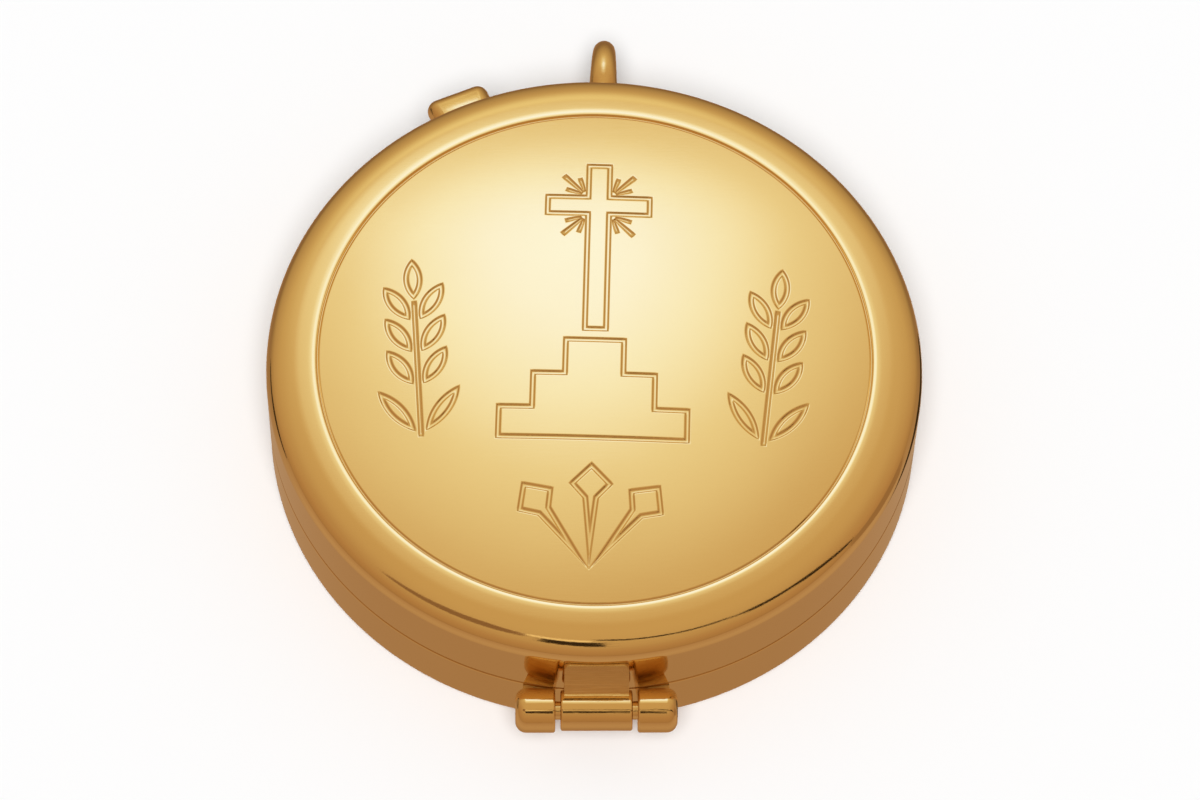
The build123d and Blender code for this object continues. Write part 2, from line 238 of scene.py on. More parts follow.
@dataclass(frozen=True)
class GoldFinish:
    """One finish of the gold plate, with the marks of its making and use.

    Scratches and rings are micrometres deep. The inner values hold where a piece is brushed or turned and
    not polished, which its attribute "inside" marks.
    """

    name: str
    slot: Slot
    plate: Colour
    # The colour that painted shade in grooves, seams and hollows darkens towards; dirt in brushed scratches
    # has it too.
    deep: Colour
    roughness: float
    haze: float
    inner_roughness: float
    scratches: float
    inner_scratches: float
    scratches_per_metre: float
    scratch_width: float
    rings: float
    haze_per_metre: float = 70.0
    rings_per_metre: float = 5200.0
    recess_roughness: float = 0.10
    soiled_depth: float = 22.0

    def material(self, effects: Effects) -> Material:
        """Builds the finish as a node material.

        Args:
            effects: The shared shader groups.

        Returns:
            The material.
        """
        material = bpy.data.materials.new(self.name)
        material.use_nodes = True
        tree = material.node_tree
        place = tree.nodes.new("ShaderNodeTexCoord").outputs["Object"]
        # This attribute is painted shade: it darkens the plate towards the deep tone in grooves, seams and
        # hollows, and roughens it a little.
        recess = add_node(tree, "ShaderNodeAttribute", attribute_name="recess").outputs["Fac"]
        inside = add_node(tree, "ShaderNodeAttribute", attribute_name="inside").outputs["Fac"]

        def placed(group: Tree, **values: object) -> Socket:
            """Places a group on the piece's own coordinates.

            Args:
                group: The shader group.
                values: A number, colour or socket for each named input.

            Returns:
                What the group puts out.
            """
            inputs = {"Coordinates": place}
            for label, value in values.items():
                inputs[label.replace("_", " ").capitalize()] = value
            return add_node(tree, "ShaderNodeGroup", inputs, node_tree=group).outputs[0]

        haze = placed(effects.haze, per_metre=self.haze_per_metre)
        lines = placed(effects.scratches, per_metre=self.scratches_per_metre, width=self.scratch_width)
        rings = placed(effects.rings, per_metre=self.rings_per_metre)
        brushed = math_node(tree, "MULTIPLY", inside, self.inner_scratches / self.soiled_depth)
        # Dirt along the brushed scratches, plus the painted shade.
        scratch_dirt_and_painted_shade = math_node(tree, "MULTIPLY_ADD", lines, brushed, recess)
        tone = placed(effects.tone, plate=(*self.plate, 1.0), deep=(*self.deep, 1.0), recess=scratch_dirt_and_painted_shade)
        worn = math_node(tree, "MULTIPLY_ADD", haze, self.haze, self.roughness)
        cut = math_node(tree, "MULTIPLY_ADD", recess, self.recess_roughness, worn)
        rough = math_node(tree, "MULTIPLY_ADD", inside, self.inner_roughness - self.roughness, cut)
        turned = math_node(tree, "MULTIPLY", rings, math_node(tree, "MULTIPLY", inside, self.rings))
        scratched = math_node(tree, "MULTIPLY_ADD", inside, -self.inner_scratches, -self.scratches)
        height = math_node(tree, "MULTIPLY_ADD", lines, scratched, turned)
        bump = add_node(tree, "ShaderNodeBump", {"Strength": 1.0, "Distance": MICRON, "Height": height})
        shader = tree.nodes["Principled BSDF"]
        shader.inputs["Metallic"].default_value = 1.0
        tree.links.new(tone, shader.inputs["Base Color"])
        tree.links.new(rough, shader.inputs["Roughness"])
        tree.links.new(bump.outputs[0], shader.inputs["Normal"])
        return material


POLISHED = GoldFinish(
    name="polished_plate", slot=Slot.POLISHED, plate=(0.92, 0.69, 0.36), deep=(0.60, 0.34, 0.12),
    roughness=0.045, haze=0.03, inner_roughness=0.24, scratches=0.25, inner_scratches=0.2,
    scratches_per_metre=5200.0, scratch_width=0.03, rings=2.0,
)
INNER = GoldFinish(
    name="satin_collar", slot=Slot.INNER, plate=(0.90, 0.68, 0.37), deep=(0.78, 0.52, 0.22),
    roughness=0.10, haze=0.05, inner_roughness=0.22, scratches=0.25, inner_scratches=0.2,
    scratches_per_metre=5200.0, scratch_width=0.03, rings=1.4,
)
CAST = GoldFinish(
    name="cast_fitting", slot=Slot.CAST, plate=(0.91, 0.67, 0.34), deep=(0.45, 0.24, 0.08),
    roughness=0.05, haze=0.035, inner_roughness=0.36, scratches=0.7, inner_scratches=9.0,
    scratches_per_metre=5600.0, scratch_width=0.07, rings=6.0,
)
PIN = GoldFinish(
    name="drawn_pin", slot=Slot.PIN, plate=(0.88, 0.65, 0.34), deep=(0.74, 0.48, 0.20),
    roughness=0.12, haze=0.05, inner_roughness=0.2, scratches=0.6, inner_scratches=0.0,
    scratches_per_metre=9000.0, scratch_width=0.03, rings=0.0,
)


class Wardrobe:
    """Hands out each finish's material, made once."""

    def __init__(self) -> None:
        """Builds the shared effects."""
        self.effects = Effects()
        self.made: dict[str, Material] = {}

    def material(self, finish: GoldFinish) -> Material:
        """Looks a finish up, and builds it the first time.

        Args:
            finish: The finish.

        Returns:
            Its material.
        """
        if finish.name not in self.made:
            self.made[finish.name] = finish.material(self.effects)
        return self.made[finish.name]


def place_piece(obj: Piece, node: str, body: Body) -> None:
    """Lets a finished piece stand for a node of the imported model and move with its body.

    Args:
        obj: The finished piece, in the model's frame.
        node: The node that the piece replaces.
        body: The body that it rides on.
    """
    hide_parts(node)
    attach(obj, body.value)
    LOG.info("%s stands for %s on %s with %d faces", obj.name, node, body.value, len(obj.data.polygons))


def new_object(name: str, data: bpy.types.ID) -> Piece:
    """Links a mesh, a lamp or a camera into the scene as an object.

    Args:
        name: The object's name.
        data: The mesh, lamp or camera.

    Returns:
        The object.
    """
    obj = bpy.data.objects.new(name, data)
    bpy.context.scene.collection.objects.link(obj)
    return obj


class Profile:
    """Outline of a turned piece: radius and height in millimetres, in lines and arcs."""

    def __init__(self, radius: float, height: float) -> None:
        """Starts the outline at a point."""
        self.points: list[Point] = [(radius, height)]

    def line(self, radius: float, height: float, support: float = 0.05) -> None:
        """Draws a straight run, with a point close to each end that keeps its shading flat.

        Args:
            radius: Radius of the run's end.
            height: Height of the run's end.
            support: How close to the ends the extra points lie.
        """
        start, stop = Vector(self.points[-1]), Vector((radius, height))
        length = (stop - start).length
        if length > 3 * support:
            for share in (support / length, 1 - support / length):
                self.points.append(tuple(start.lerp(stop, share)))
        self.points.append((radius, height))

    def arc(self, centre: Point, size: float, begin: float, end: float, steps: int) -> None:
        """Draws an arc about a centre.

        Args:
            centre: Radius and height of the arc's centre.
            size: The arc's own radius.
            begin: Angle of its first point in degrees, 0 along the radius and 90 upwards.
            end: Angle of its last point.
            steps: Number of chords.
        """
        for step in range(steps + 1):
            angle = math.radians(begin + (end - begin) * step / steps)
            spot = (centre[0] + size * math.cos(angle), centre[1] + size * math.sin(angle))
            if (Vector(spot) - Vector(self.points[-1])).length > 1e-5:
                self.points.append(spot)


class Lathe:
    """Geometry Nodes tree that turns a profile about the upright axis."""

    def __init__(self) -> None:
        """Builds the tree with its named inputs."""
        tree = bpy.data.node_groups.new("turned_piece", "GeometryNodeTree")
        face = tree.interface
        face.new_socket("Profile", in_out="INPUT", socket_type="NodeSocketGeometry")
        self.segments = face.new_socket("Segments", in_out="INPUT", socket_type="NodeSocketInt").identifier
        self.metal = face.new_socket("Metal", in_out="INPUT", socket_type="NodeSocketMaterial").identifier
        face.new_socket("Piece", in_out="OUTPUT", socket_type="NodeSocketGeometry")
        start, end = tree.nodes.new("NodeGroupInput"), tree.nodes.new("NodeGroupOutput")
        profile, segments = start.outputs["Profile"], start.outputs["Segments"]
        count = add_node(tree, "GeometryNodeAttributeDomainSize", {0: profile}).outputs["Point Count"]
        around = math_node(tree, "ADD", segments, 1.0)
        grid = add_node(tree, "GeometryNodeMeshGrid", {"Vertices X": count, "Vertices Y": around})
        index = tree.nodes.new("GeometryNodeInputIndex").outputs[0]
        row = math_node(tree, "FLOOR", math_node(tree, "DIVIDE", math_node(tree, "ADD", index, 0.5), around))
        column = math_node(tree, "SUBTRACT", index, math_node(tree, "MULTIPLY", row, around))
        spot = tree.nodes.new("GeometryNodeInputPosition").outputs[0]
        inputs = {"Geometry": profile, "Value": spot, "Index": row}
        sample = add_node(tree, "GeometryNodeSampleIndex", inputs, data_type="FLOAT_VECTOR")
        step = math_node(tree, "DIVIDE", math.tau, segments)
        inputs = {"Vector": sample.outputs[0], "Angle": math_node(tree, "MULTIPLY", column, step)}
        spin = add_node(tree, "ShaderNodeVectorRotate", inputs, rotation_type="Z_AXIS")
        inputs = {"Geometry": grid.outputs["Mesh"], "Position": spin.outputs[0]}
        move = add_node(tree, "GeometryNodeSetPosition", inputs)
        merge = add_node(tree, "GeometryNodeMergeByDistance", {0: move.outputs[0], "Distance": DOUBLES})
        smooth = add_node(tree, "GeometryNodeSetShadeSmooth", {0: merge.outputs[0]})
        real = add_node(tree, "GeometryNodeRealizeInstances", {0: smooth.outputs[0]})
        inputs = {"Geometry": real.outputs[0], "Material": start.outputs["Metal"]}
        dress = add_node(tree, "GeometryNodeSetMaterial", inputs)
        tree.links.new(dress.outputs[0], end.inputs[0])
        self.tree = tree

    def turn(self, name: str, profile: Profile, segments: int, metal: Material) -> Mesh:
        """Turns a profile and gives it back as a plain mesh.

        Args:
            name: The mesh's name.
            profile: The outline to turn.
            segments: Steps round the axis.
            metal: The material that the piece wears.

        Returns:
            The turned mesh, in metres.
        """
        blank = bpy.data.meshes.new(name + "_profile")
        spots = [(r * MM, 0.0, z * MM) for r, z in profile.points]
        blank.from_pydata(spots, [(i, i + 1) for i in range(len(spots) - 1)], [])
        obj = new_object(name + "_profile", blank)
        spin = obj.modifiers.new("turn", "NODES")
        spin.node_group = self.tree
        spin[self.segments] = segments
        spin[self.metal] = metal
        ready = obj.evaluated_get(bpy.context.evaluated_depsgraph_get())
        mesh = bpy.data.meshes.new_from_object(ready)
        mesh.name = name
        mesh.materials.clear()
        mesh.materials.append(metal)
        mesh.polygons.foreach_set("material_index", [0] * len(mesh.polygons))
        obj.modifiers.remove(spin)
        bpy.data.objects.remove(obj)
        bpy.data.meshes.remove(blank)
        return mesh


def mark(mesh: Mesh, label: str, values: np.ndarray | float) -> None:
    """Stores a value for each point of a mesh, or one for all, under a name that materials read."""
    spread_out = np.broadcast_to(values, len(mesh.vertices)).astype(np.float32)
    mesh.attributes.new(label, "FLOAT", "POINT").data.foreach_set("value", spread_out)


def points_of(mesh: Mesh) -> np.ndarray:
    """Reads a mesh's points.

    Args:
        mesh: The mesh.

    Returns:
        The points in millimetres, one row each.
    """
    flat = np.zeros(len(mesh.vertices) * 3)
    mesh.vertices.foreach_get("co", flat)
    return flat.reshape(-1, 3) / MM


def face_outwards(work: bmesh.types.BMesh, mesh: Mesh, doubles: float = DOUBLES) -> None:
    """Merges a closed shell's doubles, turns its faces outwards and puts it into a mesh, shaded smooth.

    Args:
        work: The shell, which is used up.
        mesh: The mesh that takes it.
        doubles: How close points lie that become one.
    """
    bmesh.ops.remove_doubles(work, verts=work.verts, dist=doubles)
    bmesh.ops.recalc_face_normals(work, faces=work.faces)
    for face in work.faces:
        face.smooth = True
    work.to_mesh(mesh)
    work.free()


def opened(mesh: Mesh) -> bmesh.types.BMesh:
    """Opens a mesh for work on its points and faces.

    Args:
        mesh: The mesh, which stays as it is.

    Returns:
        Its points and faces, to be put back later.
    """
    work = bmesh.new()
    work.from_mesh(mesh)
    return work


def inset(corners: list[Vector], distance: float) -> list[Vector]:
    """Moves every side of an outline inwards, with mitred corners.

    Args:
        corners: Corners in order, against the clock.
        distance: How far the sides move in; below zero they move out.

    Returns:
        The new corners.
    """
    moved = []
    for index, corner in enumerate(corners):
        before = (corner - corners[index - 1]).normalized()
        after = (corners[(index + 1) % len(corners)] - corner).normalized()
        left = Vector((-before.y, before.x))
        right = Vector((-after.y, after.x))
        half = (left + right).normalized()
        moved.append(corner + half * (distance / max(half.dot(left), MITRE_LIMIT)))
    return moved


def spread(corners: list[Vector], step: float) -> list[Vector]:
    """Adds points along an outline's sides, about one step apart.

    Args:
        corners: Corners in order.
        step: How far apart the points lie.

    Returns:
        The corners and the added points, in order.
    """
    points = []
    for index, corner in enumerate(corners):
        following = corners[(index + 1) % len(corners)]
        count = max(1, round((following - corner).length / step))
        points += [corner.lerp(following, share / count) for share in range(count)]
    return points


def mirrored(half: list[Point]) -> list[Point]:
    """Closes the right half of an outline with its mirror image, in which points on the axis stay single."""
    return half + [(-x, y) for x, y in reversed(half) if x]


def turned_by(degrees: float) -> Matrix:
    """Returns a turn about the upright axis, against the clock."""
    return Matrix.Rotation(math.radians(degrees), 4, "Z")


def depth_inside(points: np.ndarray, outline: np.ndarray) -> np.ndarray:
    """Measures how far points lie inside an outline.

    Args:
        points: Points, one row each.
        outline: Corners of the closed outline, one row each.

    Returns:
        The distance to the outline, below zero outside it.
    """
    nearest = np.full(len(points), 1e9)
    crossings = np.zeros(len(points), bool)
    for start, stop in zip(outline, np.roll(outline, -1, axis=0)):
        along = stop - start
        share = np.clip((points - start) @ along / max(along @ along, 1e-12), 0, 1)
        nearest = np.minimum(nearest, np.linalg.norm(points - start - share[:, None] * along, axis=1))
        spans = (start[1] > points[:, 1]) != (stop[1] > points[:, 1])
        if along[1]:
            reach = start[0] + (points[:, 1] - start[1]) * along[0] / along[1]
            crossings ^= spans & (points[:, 0] < reach)
    return np.where(crossings, nearest, -nearest)


@dataclass
class Groove:
    """One engraved line round or inside an outline: loops at set distances in from it."""

    loops: list[list[Vector]]
    levels: list[Point]

    def outline(self) -> np.ndarray:
        """Returns the loop that lies on the outline itself."""
        at_edge = [distance for distance, _ in self.levels].index(0.0)
        return np.array([tuple(spot) for spot in self.loops[at_edge]])

    def share(self, points: np.ndarray) -> np.ndarray:
        """Returns the share of the full depth that the groove cuts at each point."""
        reach, shares = zip(*self.levels)
        return np.interp(depth_inside(points, self.outline()), reach, shares)


GROOVE_LIP: list[Point] = [(-0.10, 0.0), (-0.04, 0.0), (0.0, 0.06), (0.055, 0.52)]
POCKET_LEVELS: list[Point] = [*GROOVE_LIP, (0.10, 0.92)]
ROW_SHARE = 0.866


@dataclass
class Ornament:
    """Cross with rays, its three steps, three nails and two ears of wheat, cut into the lid.

    Lengths are millimetres and angles degrees. The panel's plain ground has points one pitch apart, which
    keep the edge gap from the rim, and the groove gaps from a groove's outer and inner side.
    """

    turn: float = -1.84
    stroke: float = 0.43
    depth: float = 0.12
    step: float = 0.3
    cross_top: float = 17.84
    cross_foot: float = 1.6
    stem_w: float = 2.17
    arm_w: float = 8.9
    arm_low: float = 12.67
    arm_high: float = 14.73
    ray_gap: float = 0.35
    long_ray: float = 2.3
    short_ray: float = 1.4
    short_ray_share: float = 0.8
    ray_spread: float = 27.0
    ray_w: Point = (0.26, 0.5)
    step_top: float = 1.0
    step_foot: float = -8.4
    step_widths: tuple[float, ...] = (5.2, 10.4, 15.8)
    nail_tip: float = -19.76
    nail_len: float = 9.4
    nail_head_w: float = 3.6
    nail_head_drop: float = 1.9
    nail_neck_w: float = 1.3
    nail_neck_drop: float = 3.2
    nail_spread: float = 36.8
    wheat_x: float = 13.9
    wheat_lean: float = 5.0
    wheat_foot: float = -8.3
    wheat_top: float = 8.3
    straw_gap: float = 0.15
    grain: Point = (3.9, 1.55)
    grain_spread: float = 32.0
    grain_pitch: float = 3.0
    grain_pairs: int = 3
    grain_offset: float = 0.4
    leaf: Point = (4.9, 1.4)
    leaf_spread: float = 37.0
    leaf_rise: float = 0.5
    pitch: float = 1.0
    edge_gap: float = 0.6
    groove_gaps: Point = (0.3, 0.2)

    def band_levels(self) -> list[Point]:
        """Returns distances in from an outline and the share of depth there, for a line round it."""
        lip = [*GROOVE_LIP, (0.11, 0.96), (0.15, 1.0)]
        return lip + [(round(self.stroke - reach, 4), share) for reach, share in reversed(lip)]

    def placed(self, loops: list[list[Vector]], levels: list[Point], place: Matrix) -> Groove:
        """Sets a groove's loops down at its place on the turned panel."""
        whole = turned_by(self.turn) @ place
        return Groove([[(whole @ spot.to_3d()).to_2d() for spot in loop] for loop in loops], levels)

    def straight(self, corners: list[Point], levels: list[Point], place: Matrix = Matrix()) -> Groove:
        """Cuts a line just inside a straight-sided outline, or a narrow pocket.

        Args:
            corners: The outline's corners, against the clock.
            levels: Distances in from the outline and the share of depth there.
            place: Where the outline goes and how it is turned.

        Returns:
            The groove.
        """
        outline = [Vector(corner) for corner in corners]
        loops = [spread(inset(outline, reach), self.step) for reach, _ in levels]
        return self.placed(loops, levels, place)

    def lens(self, size: Point, place: Matrix) -> Groove:
        """Cuts a line just inside a pointed oval that starts at the place and runs up.

        Args:
            size: Length and width of the oval.
            place: Where its lower tip goes and how it is turned.

        Returns:
            The groove.
        """
        length, width = size
        curve = (length ** 2 + width ** 2) / (4 * width)
        middle = curve - width / 2
        loops = []
        for reach, _ in self.band_levels():
            size_here = curve - reach
            half = math.acos(middle / size_here)
            count = max(4, round(2 * half * size_here / self.step))
            loop = []
            for side in (1, -1):
                for index in range(count):
                    angle = half * (2 * index / count - 1)
                    across = side * (size_here * math.cos(angle) - middle)
                    loop.append(Vector((across, length / 2 + side * size_here * math.sin(angle))))
            loops.append(loop)
        return self.placed(loops, self.band_levels(), place)

    def cross(self) -> list[Groove]:
        """Cuts the cross and the three rays in each of its corners.

        Returns:
            The grooves.
        """
        stem, arm = self.stem_w / 2, self.arm_w / 2
        half = [
            (stem, self.cross_foot), (stem, self.arm_low), (arm, self.arm_low),
            (arm, self.arm_high), (stem, self.arm_high), (stem, self.cross_top),
        ]
        grooves = [self.straight(mirrored(half), self.band_levels())]
        for side in (1, -1):
            for level, up in ((self.arm_high, 1), (self.arm_low, -1)):
                for way in (-1, 0, 1):
                    heading = math.atan2(up, side) + math.radians(way * self.ray_spread)
                    place = Matrix.Translation((side * stem, level, 0)) @ Matrix.Rotation(heading, 4, "Z")
                    grooves.append(self.straight(self.ray(way == 0), POCKET_LEVELS, place))
        return grooves

    def ray(self, is_long: bool) -> list[Point]:
        """Draws one ray along the first axis, with its narrow end near the cross.

        Args:
            is_long: Whether it is the middle one of the three.

        Returns:
            Its corners.
        """
        near, far = self.ray_w[0] / 2, self.ray_w[1] / 2
        if not is_long:
            far *= self.short_ray_share
        tail = self.ray_gap + (self.long_ray if is_long else self.short_ray)
        return [(self.ray_gap, -near), (tail, -far), (tail, far), (self.ray_gap, near)]

    def steps(self) -> list[Groove]:
        """Cuts the stepped foot under the cross.

        Returns:
            Its one groove, in a list.
        """
        rise = (self.step_top - self.step_foot) / len(self.step_widths)
        half = [(self.step_widths[-1] / 2, self.step_foot)]
        for index, width in enumerate(reversed(self.step_widths)):
            top = self.step_foot + (index + 1) * rise
            half.append((width / 2, top))
            if index + 1 < len(self.step_widths):
                half.append((self.step_widths[-2 - index] / 2, top))
        return [self.straight(mirrored(half), self.band_levels())]

    def nails(self) -> list[Groove]:
        """Cuts three nails that meet at one tip.

        Returns:
            The grooves.
        """
        corners = mirrored([
            (0.0, 0.0), (self.nail_neck_w / 2, self.nail_len - self.nail_neck_drop),
            (self.nail_head_w / 2, self.nail_len - self.nail_head_drop), (0.0, self.nail_len),
        ])
        tip = Matrix.Translation((0, self.nail_tip, 0))
        places = [tip @ turned_by(way * self.nail_spread) for way in (-1, 0, 1)]
        return [self.straight(corners, self.band_levels(), place) for place in places]

    def wheat(self) -> list[Groove]:
        """Cuts an ear of wheat with its straw and leaves on each side.

        Returns:
            The grooves.
        """
        grooves = []
        top = self.wheat_top - self.wheat_foot - self.grain[0]
        half, end = self.stroke / 2, top - self.straw_gap
        straw = [(half, 0.0), (half, end), (-half, end), (-half, 0.0)]
        for side in (1, -1):
            foot = Matrix.Translation((side * self.wheat_x, self.wheat_foot, 0))
            stand = foot @ turned_by(-side * self.wheat_lean)
            grooves.append(self.straight(straw, POCKET_LEVELS, stand))
            grooves.append(self.lens(self.grain, stand @ Matrix.Translation((0, top, 0))))
            for way in (1, -1):
                for pair in range(self.grain_pairs):
                    rise = top - self.grain_offset - (pair + 0.5) * self.grain_pitch
                    spot = stand @ Matrix.Translation((way * self.grain_offset, rise, 0))
                    grooves.append(self.lens(self.grain, spot @ turned_by(-way * self.grain_spread)))
                spot = stand @ Matrix.Translation((way * self.grain_offset, self.leaf_rise, 0))
                grooves.append(self.lens(self.leaf, spot @ turned_by(-way * self.leaf_spread)))
        return grooves

    def ground(self, radius: float, grooves: list[Groove]) -> np.ndarray:
        """Lays out the points of the plain ground, in rows, clear of the rim and the grooves.

        Args:
            radius: The panel's radius.
            grooves: The grooves to keep clear of.

        Returns:
            The points, one row each.
        """
        rise = self.pitch * ROW_SHARE
        count = int(radius / rise) + 1
        reach = range(-count, count + 1)
        grid = [((column + 0.5 * (row % 2)) * self.pitch, row * rise) for row in reach for column in reach]
        points = np.array([spot for spot in grid if math.hypot(*spot) < radius - self.edge_gap])
        clear = np.ones(len(points), bool)
        for groove in grooves:
            inside = depth_inside(points, groove.outline())
            clear &= (inside < -self.groove_gaps[0]) | (inside > groove.levels[-1][0] + self.groove_gaps[1])
        return points[clear]

    def panel(self, radius: float, segments: int) -> tuple[np.ndarray, list[list[int]], np.ndarray]:
        """Lays out the engraved panel as triangles.

        Args:
            radius: The panel's radius.
            segments: Points on its edge.

        Returns:
            The points, the triangles, and the share of the full depth cut at each point.
        """
        grooves = self.cross() + self.steps() + self.nails() + self.wheat()
        spots: list[Vector] = []
        edges: list[tuple[int, int]] = []
        owner: list[int] = []
        own: list[float] = []

        def add_points(points: list[Vector], number: int, share: float) -> None:
            """Adds points that belong together.

            Args:
                points: The points.
                number: The groove that they belong to, or -1.
                share: The share of the full depth there.
            """
            spots.extend(points)
            owner.extend([number] * len(points))
            own.extend([share] * len(points))

        def add_loop(loop: list[Vector], number: int, share: float) -> None:
            """Adds one closed loop of points and its edges.

            Args:
                loop: The loop's points.
                number: The groove that it belongs to, or -1.
                share: The share of the full depth there.
            """
            first = len(spots)
            edges.extend((first + i, first + (i + 1) % len(loop)) for i in range(len(loop)))
            add_points(loop, number, share)

        rim = [math.tau * i / segments for i in range(segments)]
        add_loop([Vector((radius * math.cos(a), radius * math.sin(a))) for a in rim], -1, 0.0)
        for number, groove in enumerate(grooves):
            for loop, (_, share) in zip(groove.loops, groove.levels):
                add_loop(loop, number, share)
        add_points([Vector(spot) for spot in self.ground(radius, grooves)], -1, 0.0)
        points, _, faces, sources, _, _ = delaunay_2d_cdt(spots, edges, [], 0, 1e-6, True)
        flat = np.array([tuple(spot) for spot in points])
        cut = np.array([max((own[i] for i in ids), default=0.0) for ids in sources])
        mine = np.array([owner[ids[0]] if ids else -2 for ids in sources])
        margin = -GROOVE_LIP[0][0]
        for number, groove in enumerate(grooves):
            edge = groove.outline()
            near = np.all((flat > edge.min(0) - margin) & (flat < edge.max(0) + margin), axis=1)
            near &= (mine != number)
            if near.any():
                cut[near] = np.maximum(cut[near], groove.share(flat[near]))
        return flat, faces, cut


@dataclass
class Lid:
    """The lid: a turned cover with a ring groove, and an engraved domed panel within it.

    Each round of the rim is the slope that it ends at and its radius. The painted shades are shares of the
    deep tone:
    painted shade darker towards the ring groove's front, a painted shadow in the seam, painted shade on a
    stroke's walls and on its bed.
    """

    radius: float = 27.0
    wall_in: float = 26.33
    foot_z: float = 6.3
    edge_break: float = 0.15
    rim_z: float = 11.37
    rim_rounds: tuple[Point, ...] = (
        (34.0, 1.62), (14.5, 3.4), (9.5, 4.6), (7.2, 8.0), (5.9, 14.0), (5.15, 50.8), (2.6, 7.6)
    )
    lip_round: float = 1.6
    lip_tilt: float = 8.5
    lip_edge: float = 0.06
    lip_end: float = 152.0
    groove_out_r: float = 23.025
    groove_in_r: float = 22.475
    groove_depth: float = 0.095
    groove_lean: float = 0.53
    shelf_r: float = 22.57
    bed_out: float = 0.13
    fine: float = 0.01
    panel_z: float = 13.355
    dome_rise: float = 1.1
    top_t: float = 0.8
    roof_steps: int = 12
    roof_gap: float = 0.4
    inside_under: float = 0.5
    inside_r: float = 24.0
    inside_rise: float = 1.3
    ring_shade_band: Point = (22.59, 22.80)
    seam_h: float = 0.12
    seam_in: float = 0.1
    ring_painted_shade: float = 0.2
    seam_painted_shadow: float = 1.5
    groove_wall_painted_shade: float = 0.9
    groove_bed_painted_shade: float = 0.1
    segments: int = 360
    ornament: Ornament = field(default_factory=Ornament)

    def dome_z(self, radius: np.ndarray | float) -> np.ndarray | float:
        """Returns the panel's height at a radius."""
        ball = (self.groove_in_r ** 2 + self.dome_rise ** 2) / (2 * self.dome_rise)
        return self.panel_z + self.dome_rise - ball + np.sqrt(ball ** 2 - np.square(radius))

    def cover_profile(self) -> Profile:
        """Draws the lid from the underside's middle, round its wall and up to the panel's edge.

        Returns:
            The outline.
        """
        outer, inner = self.rim_arcs(0.0), self.rim_arcs(self.top_t)
        outline = Profile(0.0, float(self.dome_z(0.0)) - self.top_t)
        for step in range(1, self.roof_steps + 1):
            radius = self.groove_in_r * step / self.roof_steps
            outline.points.append((radius, float(self.dome_z(radius)) - self.top_t))
        outline.points += [spot for spot in reversed(inner) if spot[0] > self.groove_out_r + self.roof_gap]
        brk = self.edge_break
        outline.line(self.wall_in, self.foot_z + brk)
        outline.arc((self.wall_in + brk, self.foot_z + brk), brk, 180, 270, 5)
        outline.line(self.radius - brk, self.foot_z)
        outline.arc((self.radius - brk, self.foot_z + brk), brk, -90, 0, 5)
        outline.line(*outer[0])
        outline.points += outer[1:]
        self.ring_groove(outline)
        return outline

    def rim_arcs(self, within: float) -> list[Point]:
        """Draws the rim's rounded shoulder, from the wall's top to its flattest part.

        Args:
            within: How far inside the outer surface the line lies.

        Returns:
            Points along the line.
        """
        spot, tilt = Vector((self.radius, self.rim_z)), 90.0
        points = []
        for slope, size in self.rim_rounds:
            centre = spot - Vector((math.sin(math.radians(tilt)), math.cos(math.radians(tilt)))) * size
            steps = max(6, round((tilt - slope) / 2))
            for step in range(steps + 1):
                angle = math.radians(tilt + (slope - tilt) * step / steps)
                way = Vector((math.sin(angle), math.cos(angle)))
                spot = centre + way * size
                point = tuple(spot - way * within)
                if not points or (Vector(point) - Vector(points[-1])).length > 1e-4:
                    points.append(point)
            tilt = slope
        if within:
            points[0] = (self.wall_in, points[0][1])
        return points

    def ring_groove(self, outline: Profile) -> None:
        """Carries the rim's outline on over the soft lip and through the ring groove to the panel's edge.

        Args:
            outline: The outline so far, up to the rim's flattest part.
        """
        slope = self.rim_rounds[-1][0]
        tilt = math.radians(slope)
        crest = Vector(outline.points[-1]) - Vector((math.sin(tilt), math.cos(tilt))) * self.lip_round
        outline.arc(crest, self.lip_round, 90 - slope, 90 + self.lip_tilt, 10)
        tilt = math.radians(self.lip_tilt)
        turn = Vector(outline.points[-1]) - Vector((-math.sin(tilt), math.cos(tilt))) * self.lip_edge
        outline.arc(turn, self.lip_edge, 90 + self.lip_tilt, self.lip_end, 4)
        edge = Vector(outline.points[-1])
        shelf, fine = self.shelf_r, self.fine
        rim = float(self.dome_z(shelf))
        bed = Vector((shelf + self.bed_out, rim - self.groove_depth))
        wall_foot = max(bed.x + 2 * fine, edge.x - self.groove_lean * (edge.y - bed.y))
        outline.line(wall_foot, bed.y + fine, fine)
        outline.points += [(bed.x + fine, bed.y), (bed.x - 2 * fine, bed.y + 1.2 * fine)]
        outline.line(shelf + 3 * fine, rim - 2 * fine, fine)
        outline.points.append((shelf + fine, rim - fine / 2))
        for radius in (shelf - 2 * fine, shelf - 5 * fine, self.groove_in_r):
            outline.points.append((radius, float(self.dome_z(radius))))

    def is_inside(self, radius: float, z: float) -> bool:
        """Tells whether a point of the cover lies on its inner side.

        Args:
            radius: Its distance from the axis, in millimetres.
            z: Its height.

        Returns:
            True where it does.
        """
        under = z < self.dome_z(min(radius, self.groove_in_r)) - self.inside_under
        if not under or radius >= self.wall_in + SURFACE_GAP:
            return False
        return radius < self.inside_r or z < self.rim_z + self.inside_rise

    def painted_shade_at(self, radius: float, y: float, z: float) -> float:
        """Works out the painted shade at a point of the cover: darker towards the front in the ring groove,
        and a painted shadow in the seam.

        Args:
            radius: Its distance from the axis, in millimetres.
            y: How far back it lies.
            z: Its height.

        Returns:
            The share of the deep tone.
        """
        # Painted shade in the ring groove, darker towards the front.
        if self.ring_shade_band[0] < radius < self.ring_shade_band[1] and z > self.rim_z + self.inside_rise:
            return self.ring_painted_shade * (1.0 - y / radius)
        # A painted shadow along the seam at the wall's foot.
        return self.seam_painted_shadow * (z < self.foot_z + self.seam_h and radius > self.wall_in + self.seam_in)

